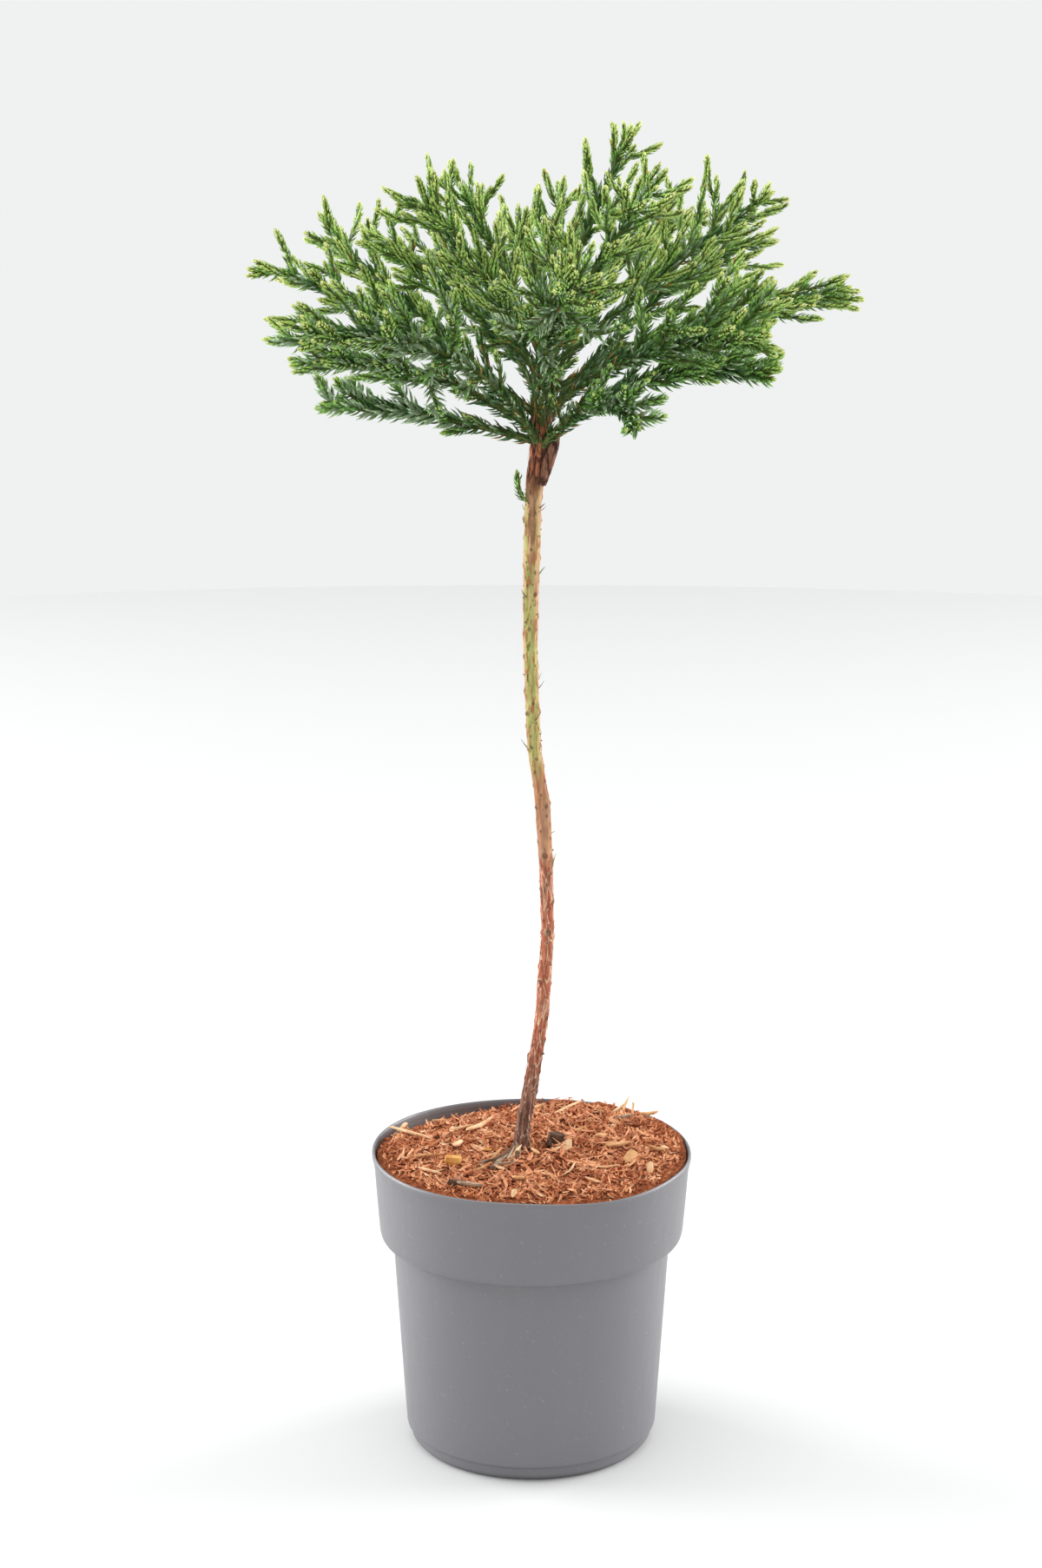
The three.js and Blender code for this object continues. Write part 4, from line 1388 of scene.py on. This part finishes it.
def make_stub(material):
    """The cut rootstock beside the graft."""
    line = smooth_line(STUB, STUB_RING)
    radii = np.interp(np.linspace(0, 1, len(line)), *zip(*STUB_RADII))
    points, faces = skin(rings_along(line, radii, STUB_SIDES, stub_relief))
    return put("rootstock_stub", points, faces, material=material, smooth=True)


def make_boughs(material):
    """The wood of every bough, from its collar on the trunk to where its mass takes over."""
    parts = []
    for limb in limbs:
        if limb.bare == 0:
            continue
        line = [limb.point(t) for t in np.linspace(0, limb.bare, BOUGH_POINTS)]
        run = np.linspace(0, 1, len(line))
        radii = BOUGH_FOOT + (BOUGH_TIP - BOUGH_FOOT) * run + BOUGH_COLLAR * np.exp(-run * 9)

        def relief(angle, length, seed=limb.seed):
            at = Vector((2 * math.cos(angle) + seed % 97, 2 * math.sin(angle), length * 0.22))
            return 0.32 * noise.noise(at)

        parts.append(skin(rings_along(line, radii * 0.86, BOUGH_SIDES, relief)))
    points, faces = joined(parts)
    return put("bough_wood", points, faces, material=material, smooth=True)


def nub_shape(name, height):
    """The stump of a shed needle: a low blunt cone."""
    rings = [[(r * math.cos(a), r * math.sin(a), z) for a in around(5)]
             for r, z in ((0.75, -0.4), (0.5, 0.45 * height), (0.22, height))]
    points, faces = skin(rings)
    return put(name, points, faces)


def spine_shape(name, curve):
    """A dry needle of unit length that leans up along X as it leaves the bark."""
    rings = []
    for t, half in ((0, 0.075), (0.5, 0.06), (0.95, 0.02)):
        x, z = 0.75 * t + curve * t * t, 0.62 * t
        rings.append([(x + half, 0, z), (x - half, half, z), (x - half, -half, z)])
    points, faces = skin(rings)
    return put(name, points, faces)


# ---------------------------------------------------------------- finishes


def plastic_finish(name, base, light, dusty):
    """Moulded plastic, a little clouded, streaked downwards, rubbed and specked with dust."""
    finish = Finish(name, roughness=0.4, specular=1.0)
    cloud = finish.grain(9, 4, 0.55)
    streak = finish.grain(60, 3, 0.5, (1, 1, 0.06))
    speck = finish.grain(420, 2, 0.5)
    colour = finish.blend(paint(base), paint(light), cloud * 0.6 + streak * 0.4)
    colour = finish.patched(colour, dusty, speck, 0.66, 0.74, 0.5)
    rub = finish.grain(150, 4, 0.6, (1, 1, 0.35))
    finish.lit(colour, 0.34 + rub * 0.2)
    finish.raised(rub * 0.6 + finish.grain(900, 2, 0.5) * 0.4, 0.12, 0.0004)
    return finish.material


def earth_finish(name, dark, light, scale, bump):
    """Moist crumbs, darker where the relief is low and lighter where it is high: painted shade between
    the crumbs and painted light on their tops.
    """
    finish = Finish(name, roughness=0.95, specular=0.15)
    crumb = finish.grain(scale, 5, 0.7)
    # The colour follows the relief's noise: painted shade in the low places, painted light on the
    # raised ones.
    finish.lit(finish.tones(dark, light, crumb, 0.35, 0.7))
    finish.raised(crumb, bump, 0.002)
    return finish.material


def shred_finish(name, dark, light):
    """Torn bark fibre: a grain finer than the shred, so that no two look alike."""
    finish = Finish(name, roughness=0.8, specular=0.25)
    broad = finish.grain(70, 2, 0.5)
    hair = finish.grain(900, 3, 0.6, (0.35, 0.35, 1))
    finish.lit(finish.tones(dark, light, broad * 0.55 + hair * 0.45, 0.34, 0.66))
    finish.raised(hair, 0.35, 0.0004)
    return finish.material


def bark_finish():
    """The trunk's bark from its dark foot to its leafy top, each kind where its trait is."""
    finish = Finish("graft_bark", roughness=0.82, specular=0.22)
    hair = finish.grain(520, 4, 0.65, (1, 1, 0.13))
    mottle = finish.grain(240, 4, 0.6, (1, 1, 0.45))
    fleck = finish.grain(620, 2, 0.5, (1, 1, 0.4))
    wide = finish.grain(150, 2, 0.5, (1, 1, 0.3))
    cell = finish.cracks(330, (1, 1, 0.22))
    net = (1 - finish.between(cell, 0.02, 0.09)) * finish.between(mottle, 0.38, 0.56)

    red = finish.tones("944b37", "bc775a", hair, 0.36, 0.68)
    red = finish.patched(red, "a8907c", wide, 0.56, 0.68, 0.55)
    red = finish.blend(red, paint("d6b797"), net * 0.9)

    dark = finish.tones("5c4036", "94705f", hair, 0.38, 0.68)
    dark = finish.patched(dark, "b3683f", wide, 0.6, 0.68, 0.8)
    dark = finish.blend(dark, paint("cbb19c"), net * finish.between(fleck, 0.45, 0.6) * 0.85)

    sandy = finish.tones("9f6e50", "c1926d", hair, 0.34, 0.66)
    sandy = finish.patched(sandy, "a5552f", mottle, 0.58, 0.7, 0.75)
    sandy = finish.patched(sandy, "987660", wide, 0.54, 0.66, 0.5)

    # A lighter tan laid on the green stem's left and right sides by the edge trait: painted side light.
    side_lit_tan = finish.tones("aa8360", "d0aa83", hair, 0.34, 0.66)
    green = finish.tones("8f914c", "b4b06f", hair, 0.36, 0.64)
    green = finish.patched(green, "7d8d46", mottle, 0.56, 0.7, 0.6)
    green = finish.patched(green, "c9ae7e", wide, 0.52, 0.66, 0.7)
    green = finish.blend(green, side_lit_tan, finish.trait("edge"))
    green = finish.blend(green, paint("a06848"), finish.trait("patch") * 0.85)
    green = finish.patched(green, "7a5638", fleck, 0.6, 0.68, 0.75)

    strap = finish.tones("8a6548", "bd9570", hair, 0.36, 0.66)
    strap = finish.patched(strap, "8f5a3c", mottle, 0.52, 0.66, 0.7)

    shaggy = finish.tones("6b3c2a", "b3714f", hair, 0.38, 0.64)
    # Near black in the cracks between cells: painted shade in the cracks.
    shaggy = finish.blend(shaggy, paint("3a2018"), (1 - finish.between(cell, 0.03, 0.16)) * 0.85)
    shaggy = finish.blend(shaggy, paint("3d4a22"), finish.trait("leafy") * 0.85)

    colour = finish.blend(red, dark, finish.trait("low"))
    colour = finish.blend(colour, sandy, finish.trait("tan"))
    colour = finish.blend(colour, green, finish.trait("green"))
    colour = finish.blend(colour, strap, finish.trait("strap"))
    colour = finish.blend(colour, shaggy, finish.trait("head"))
    colour = finish.patched(colour, "5d4334", finish.trait("knot"), 0.25, 0.9, 0.7)
    finish.lit(colour, 0.7 + hair * 0.2)
    depth = finish.between(cell, 0.0, 0.2) * (1 - finish.trait("green")) * 0.6
    relief = hair * 0.5 + fleck * 0.2 + depth + finish.trait("flake") * 0.1
    finish.raised(relief, 0.55, 0.0007)
    return finish.material


def fissured_finish(name, dark, light, deep):
    """Dry bark with deep cracks between long plates, painted near black as shade in the cracks."""
    finish = Finish(name, roughness=0.85, specular=0.2)
    hair = finish.grain(480, 4, 0.6, (1, 1, 0.16))
    cell = finish.cracks(260, (1, 1, 0.2))
    colour = finish.tones(dark, light, hair, 0.36, 0.66)
    # deep is the colour of the painted shade in the cracks.
    finish.lit(finish.blend(colour, paint(deep), (1 - finish.between(cell, 0.04, 0.2)) * 0.85))
    finish.raised(hair * 0.4 + finish.between(cell, 0.0, 0.25) * 0.6, 0.6, 0.001)
    return finish.material


def wood_finish(name, dark, light, scale=420):
    """Thin bark or wood with a fine upright grain."""
    finish = Finish(name, roughness=0.8, specular=0.25)
    hair = finish.grain(scale, 4, 0.6, (1, 1, 0.3))
    finish.lit(finish.tones(dark, light, hair, 0.36, 0.66))
    finish.raised(hair, 0.45, 0.0005)
    return finish.material


def needle_finish(name, code, share=1.0):
    """A plain green with the faintest change from place to place; share darkens or lightens it."""
    finish = Finish(name, roughness=0.5, specular=0.3)
    base = [min(1.0, part * share) for part in paint(code)[:3]]
    dark, light = [(*[part * change for part in base], 1) for change in (0.92, 1.08)]
    drift = finish.between(finish.grain(55, 2, 0.5), 0.35, 0.65)
    finish.lit(finish.blend(dark, light, drift))
    return finish.material


# ---------------------------------------------------------------- the whole


def on_plant(piece, slot, *nodes):
    """Puts a piece on the plant's body, in the place of the nodes it stands for; slot is not used."""
    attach(piece, "root")
    if nodes:
        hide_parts(*nodes)


def build_pot():
    """The pot, and the soil in it, whose solid is kept as it is."""
    outside = plastic_finish("grey_pot_plastic", "626165", "6b6a6f", "838388")
    # The inside is darker than the outside as painted shade in the pot's hollow; its brownish specks
    # are soil dust.
    inside = plastic_finish("pot_inside_plastic", "524c4d", "5f5858", "6e6358")
    on_plant(make_pot(outside, inside), "pot_plastic", "pot")
    soil = frame["nodes"]["potting_soil"]
    soil.data.materials.clear()
    soil.data.materials.append(earth_finish("potting_soil_crumb", "1f1610", "3d2c1f", 260, 0.7))


def build_mulch():
    """The bed, the small bits scattered over it, and the larger chips laid on it."""
    bed = make_mulch_bed(earth_finish("mulch_fines", "6e3620", "b4693f", 380, 0.9))
    rule = scatter_rule()
    crumbs = shapes_in("crumbs", [
        shred_shape("crumb_a", 4.2, 1.1, 0.6, 0.15, 51),
        shred_shape("crumb_b", 3.2, 1.8, 0.8, 0.2, 53),
    ])
    fibres = shapes_in("fibres", [
        shred_shape("fibre_a", 9, 1.5, 0.7, 0.10, 3),
        shred_shape("fibre_b", 7, 1.9, 0.8, 0.16, 5),
        shred_shape("fibre_c", 11, 1.2, 0.6, 0.06, 8),
        shred_shape("fibre_d", 5, 2.4, 0.9, 0.20, 13),
        shred_shape("fibre_e", 12, 1.7, 0.7, 0.12, 21),
    ])
    shreds = shapes_in("shreds", [
        shred_shape("shred_a", 15, 3.0, 1.0, 0.06, 2),
        shred_shape("shred_b", 11, 3.8, 1.1, 0.10, 6),
        shred_shape("shred_c", 18, 2.4, 0.9, 0.05, 7),
        chip_shape("shred_d", 10, 5, 1.1, 9),
    ])
    kinds = [
        # name, dark, light, shapes, cover, to the square metre, smallest, largest, tip, rise
        ("mulch_rust_crumb", "8e4526", "c67a4f", crumbs, "crumb_cover", 70000, 0.6, 1.3, 0.9, 2.2),
        ("mulch_orange_crumb", "b8693f", "e6ad80", crumbs, "crumb_cover", 70000, 0.6, 1.3, 0.9, 2.6),
        ("mulch_rust_fibre", "8e4526", "c67a4f", fibres, "fibre_cover", 52000, 0.45, 1.0, 0.6, 1.8),
        ("mulch_orange_fibre", "b8693f", "e3a679", fibres, "fibre_cover", 46000, 0.45, 1.0, 0.6, 2.2),
        ("mulch_salmon_fibre", "cf8b60", "f0c09b", fibres, "fibre_cover", 22000, 0.4, 0.95, 0.7, 2.6),
        ("mulch_dark_bit", "4c2a1c", "7d4b35", fibres, "fibre_cover", 12000, 0.5, 1.0, 0.5, 1.0),
        ("mulch_brown_shred", "8a4a2e", "c98560", shreds, "shred_cover", 15000, 0.5, 1.0, 0.5, 2.2),
        ("mulch_orange_shred", "bb7045", "e8b086", shreds, "shred_cover", 12000, 0.45, 1.0, 0.5, 2.6),
        ("mulch_pale_sliver", "d09c70", "f0d0a8", shreds, "shred_cover", 3200, 0.4, 0.95, 0.6, 3.0),
    ]
    for number, (name, dark, light, shapes, cover, density, least, most, tip, rise) in enumerate(kinds):
        piece = rule.grow(
            bed, name, Density=float(density), Seed=50 + number, Smallest=least, Largest=most,
            Spin=math.pi, Tip=tip, Rise=rise * MM, Cover=cover, Shapes=shapes,
            Material=shred_finish(name + "_finish", dark, light),
        )
        on_plant(piece, "bark_mulch", "bark_mulch")
    clear_shapes(crumbs, fibres, shreds)
    on_plant(bed, "bark_mulch", "bark_mulch")
    for kind, dark, light in (
        ("pale", "d2a173", "f3d5ac"), ("amber", "b3722f", "dcaa62"), ("grey", "75614f", "b59d86"),
        ("dark", "38261c", "6b4f3d"), ("tan", "a9764a", "d3a273"),
    ):
        chips = make_chips(kind, shred_finish(f"mulch_{kind}_chip_finish", dark, light))
        on_plant(chips, "bark_mulch", "bark_mulch")


def build_wood():
    """The trunk, its stub and the boughs, with what is loose on the trunk's bark."""
    trunk = make_trunk(bark_finish())
    # The stub's third colour is painted shade in its cracks.
    stub = make_stub(fissured_finish("stub_bark", "5a382a", "946853", "2b1912"))
    boughs = make_boughs(wood_finish("bough_bark", "36421f", "5d6a33"))
    rule = scatter_rule()
    spines = shapes_in("spines", [spine_shape("spine_a", 0.28), spine_shape("spine_b", -0.15)])
    flakes = shapes_in("flakes", [
        shred_shape("flake_a", 9, 0.9, 0.25, 0.05, 31),
        shred_shape("flake_b", 6, 1.2, 0.3, 0.09, 37),
        shred_shape("flake_c", 12, 0.7, 0.2, 0.04, 41),
    ])
    nubs = shapes_in("nubs", [nub_shape("nub_a", 1.0), nub_shape("nub_b", 0.7)])
    for name, dark, light, density, least, most, shapes, cover, tip, seed in (
        ("dead_needles", "4b4030", "7d6950", 2200.0, 3.2, 8.5, spines, "spiny", 0.5, 71),
        ("green_stem_needles", "5f7a3c", "8aa058", 1500.0, 3.2, 7.0, spines, "spiny", 0.5, 72),
        ("pale_bark_flakes", "b08a70", "e0c3a6", 7000.0, 0.35, 0.85, flakes, "peeling", 0.16, 73),
        ("red_bark_flakes", "93503c", "bd7c62", 9000.0, 0.4, 1.0, flakes, "peeling", 0.16, 74),
        ("loose_bark_strips", "7a4a36", "b07a5c", 2600.0, 0.9, 1.5, flakes, "shaggy", 0.3, 78),
        ("dark_bark_flakes", "50362c", "7d5a4a", 4000.0, 0.35, 0.9, flakes, "peeling", 0.16, 75),
        ("bark_nubs", "5c4436", "94765f", 6500.0, 0.5, 1.2, nubs, "nubby", 0.4, 76),
        ("pale_bark_nubs", "a58468", "dcc3a4", 4000.0, 0.4, 1.0, nubs, "nubby", 0.4, 77),
    ):
        piece = rule.grow(
            trunk, name, Density=density, Seed=seed, Smallest=least, Largest=most, Spin=0.3,
            Tip=tip, Rise=0.0, Cover=cover, Shapes=shapes,
            Material=wood_finish(name + "_finish", dark, light, 300),
        )
        on_plant(piece, "bark", "trunk")
    clear_shapes(spines, flakes, nubs)
    on_plant(trunk, "bark", "trunk")
    on_plant(stub, "bark", "trunk")
    on_plant(boughs, "bough_wood", *[f"bough_{limb.name}" for limb in limbs if limb.bare > 0])


def clad_leader(stems):
    """Adds the needles of the trunk's own leafy top, in several coats."""
    rows = np.array(TRUNK)
    heights = np.linspace(TOP_FOOT, TRUNK[-1][0] - 1, TOP_POINTS)
    girths = np.interp(heights, rows[:, 0], rows[:, 2]) * 0.85
    length, lean, tone = TOP_NEEDLES
    for _ in range(TOP_COATS):
        stems.add(
            [trunk_at(height) for height in heights],
            needle=np.full(TOP_POINTS, length * MM),
            lean=np.full(TOP_POINTS, math.radians(lean)),
            youth=np.zeros(TOP_POINTS),
            tone=np.full(TOP_POINTS, tone),
            bloom=np.full(TOP_POINTS, 0.05),
            rust=np.linspace(0.25, 0.02, TOP_POINTS),
            girth=girths * MM,
        )


SHADES = [  # from the darkest old needles to the palest young ones, then the two odd ones
    ("needles_darkest", "385d2c"),
    ("needles_old", "487036"),
    ("needles_deep", "58823d"),
    ("needles_leaf_green", "6c9546"),
    ("needles_bright", "82a850"),
    ("needles_fresh", "9cb85d"),
    ("needles_lime", "b3c66c"),
    ("needles_pale", "c6cf7d"),
    ("needles_palest", "d7d791"),
    ("needles_blue_bloom", "93aa84"),
    ("needles_rusty", "937739"),
]
GREENS = len(SHADES) - 2
FIRST_YOUNG = 5  # from this shade on needles are young, and their tips differ less in colour
YOUNG_SHARES = (0.92, 1.2)  # how light the needle's foot and its tip are: the darker foot is painted shade between the needles, the lighter tip painted light
OLD_SHARES = (0.75, 1.44)


def build_needles():
    """The needles, in one piece for each shade, the twigs that bear them, and the buds."""
    stems, tips = crown_stems()
    clad_leader(stems)
    clad(stems, SPRIG, SPRIG_NEEDLES, 0.05, 0.4, HANGING_GIRTH, 0.3)
    base = stems.made("stem_lines")
    needles = shapes_in("needles", [
        needle_shape("needle_1_long", 0.25, 0.28, [(0, 0.4), (0.34, 0.5), (0.7, 0.36)]),
        needle_shape("needle_2_middle", 0.32, 0.27, [(0, 0.38), (0.5, 0.5)]),
        needle_shape("needle_3_short", 0.42, 0.17, [(0, 0.4), (0.55, 0.5)]),
    ])
    masses = [f"needles_{limb.name}" for limb in limbs]
    rule = needle_rule()
    for number, (name, code) in enumerate(SHADES):
        young = FIRST_YOUNG <= number < GREENS
        # Each needle's foot is darkened as painted shade between the needles, and its tip lightened as
        # painted light.
        shaded_foot_share, lit_tip_share = YOUNG_SHARES if young else OLD_SHARES
        finishes = {
            "Material": needle_finish(name + "_foot", code, shaded_foot_share),
            "Outer Material": needle_finish(name + "_finish", code, lit_tip_share),
        }
        piece = rule.grow(base, name, Pitch=NEEDLE_PITCH * MM, Shade=float(number),
                          Shades=float(GREENS), Needles=needles, **finishes)
        on_plant(piece, "needles", *masses, "trunk_sprig")
    clear_shapes(needles)
    # The stems' dark green is their own colour and also painted shade in the gaps between the needles.
    twigs = stem_rule().grow(
        base, "twig_stems", Step=STEM_STEP * MM, Least=0.1 * MM,
        Material=wood_finish("twig_stem_finish", "3f4f22", "5c6c2e"),
    )
    on_plant(twigs, "needles", *masses)
    on_plant(make_buds(tips, needle_finish("shoot_bud_finish", "b2c479")), "needles", *masses)
    bpy.data.objects.remove(base)


def make_buds(tips, material):
    """The blunt pale end of each shoot."""
    parts = []
    for tip in tips:
        parts.append(skin([
            [tip + np.array((0.9 * out * math.cos(a), 0.9 * out * math.sin(a), 1.1 * t))
             for a in around(6)]
            for t, out in ((-1, 0.5), (-0.3, 1.0), (0.5, 0.85), (1.0, 0.3))
        ]))
    points, faces = joined(parts)
    return put("shoot_buds", points, faces, material=material, smooth=True)


# ---------------------------------------------------------------- the studio, in metres

LAMPS = [  # name, place, size, watts
    ("light_over", (-0.3, -0.5, 2.6), 2.2, 22),
    ("light_left", (-3.8, 1.3, 1.4), 3.0, 205),
    ("light_right", (3.8, 1.3, 1.4), 3.0, 190),
]
LAMPS_AIM = (0, 0, 0.45)
FLOOR_REACH = 3.3
FLOOR_NEAR = 0.6  # the floor is palest up to here: a painted pool of light round the pot
FLOOR_FAR = 1.6
CAMERA_PLACE = (-0.0065, -1.901, 0.864)
CAMERA_TILT = 13  # degrees below the horizon
SENSOR = 36
FOCAL_PIXELS = 3673
FRAME_PIXELS = 1805  # the longer side of the frame


def build_studio():
    """A pale round floor, its paler middle a painted pool of light, that meets the air without a line,
    and three soft lamps.
    """
    reach = FLOOR_REACH / MM
    edge = [(reach * math.cos(a), reach * math.sin(a), 0) for a in around(96)]
    floor = put("studio_floor", edge, [tuple(range(len(edge)))])
    finish = Finish("studio_floor_finish", roughness=0.75, specular=0.2)
    away = finish.value("ShaderNodeVectorMath", {"operation": "LENGTH"}, {0: finish.place}, "Value")
    near = finish.blend(paint("d8d8d8"), paint("dadada"), finish.grain(3, 2, 0.5))
    # Darker away from the middle, so that the paler middle is a painted pool of light.
    finish.lit(finish.blend(near, paint("cdcdcd"), finish.between(away, FLOOR_NEAR, FLOOR_FAR)))
    floor.data.materials.append(finish.material)
    world = bpy.data.worlds.new("studio_air")
    world.use_nodes = True
    air = world.node_tree.nodes["Background"]
    air.inputs["Color"].default_value = (0.99, 1.0, 1.0, 1)
    air.inputs["Strength"].default_value = 0.88
    bpy.context.scene.world = world
    for name, place, size, watts in LAMPS:
        lamp = bpy.data.lights.new(name, "AREA")
        lamp.size = size
        lamp.energy = watts
        holder = bpy.data.objects.new(name, lamp)
        holder.location = place
        aim = Vector(LAMPS_AIM) - Vector(place)
        holder.rotation_euler = aim.to_track_quat("-Z", "Y").to_euler()
        bpy.context.scene.collection.objects.link(holder)


def set_camera():
    """Looks at the whole plant from in front and a little above."""
    lens = bpy.data.cameras.new("camera")
    lens.sensor_width = SENSOR
    lens.lens = SENSOR * FOCAL_PIXELS / FRAME_PIXELS
    camera = bpy.data.objects.new("camera", lens)
    camera.location = CAMERA_PLACE
    camera.rotation_euler = (math.radians(90 - CAMERA_TILT), 0, 0)
    bpy.context.scene.collection.objects.link(camera)
    bpy.context.scene.camera = camera
    bpy.context.scene.view_settings.view_transform = "Standard"


set_camera()
build_studio()
build_pot()
build_mulch()
build_wood()
build_needles()
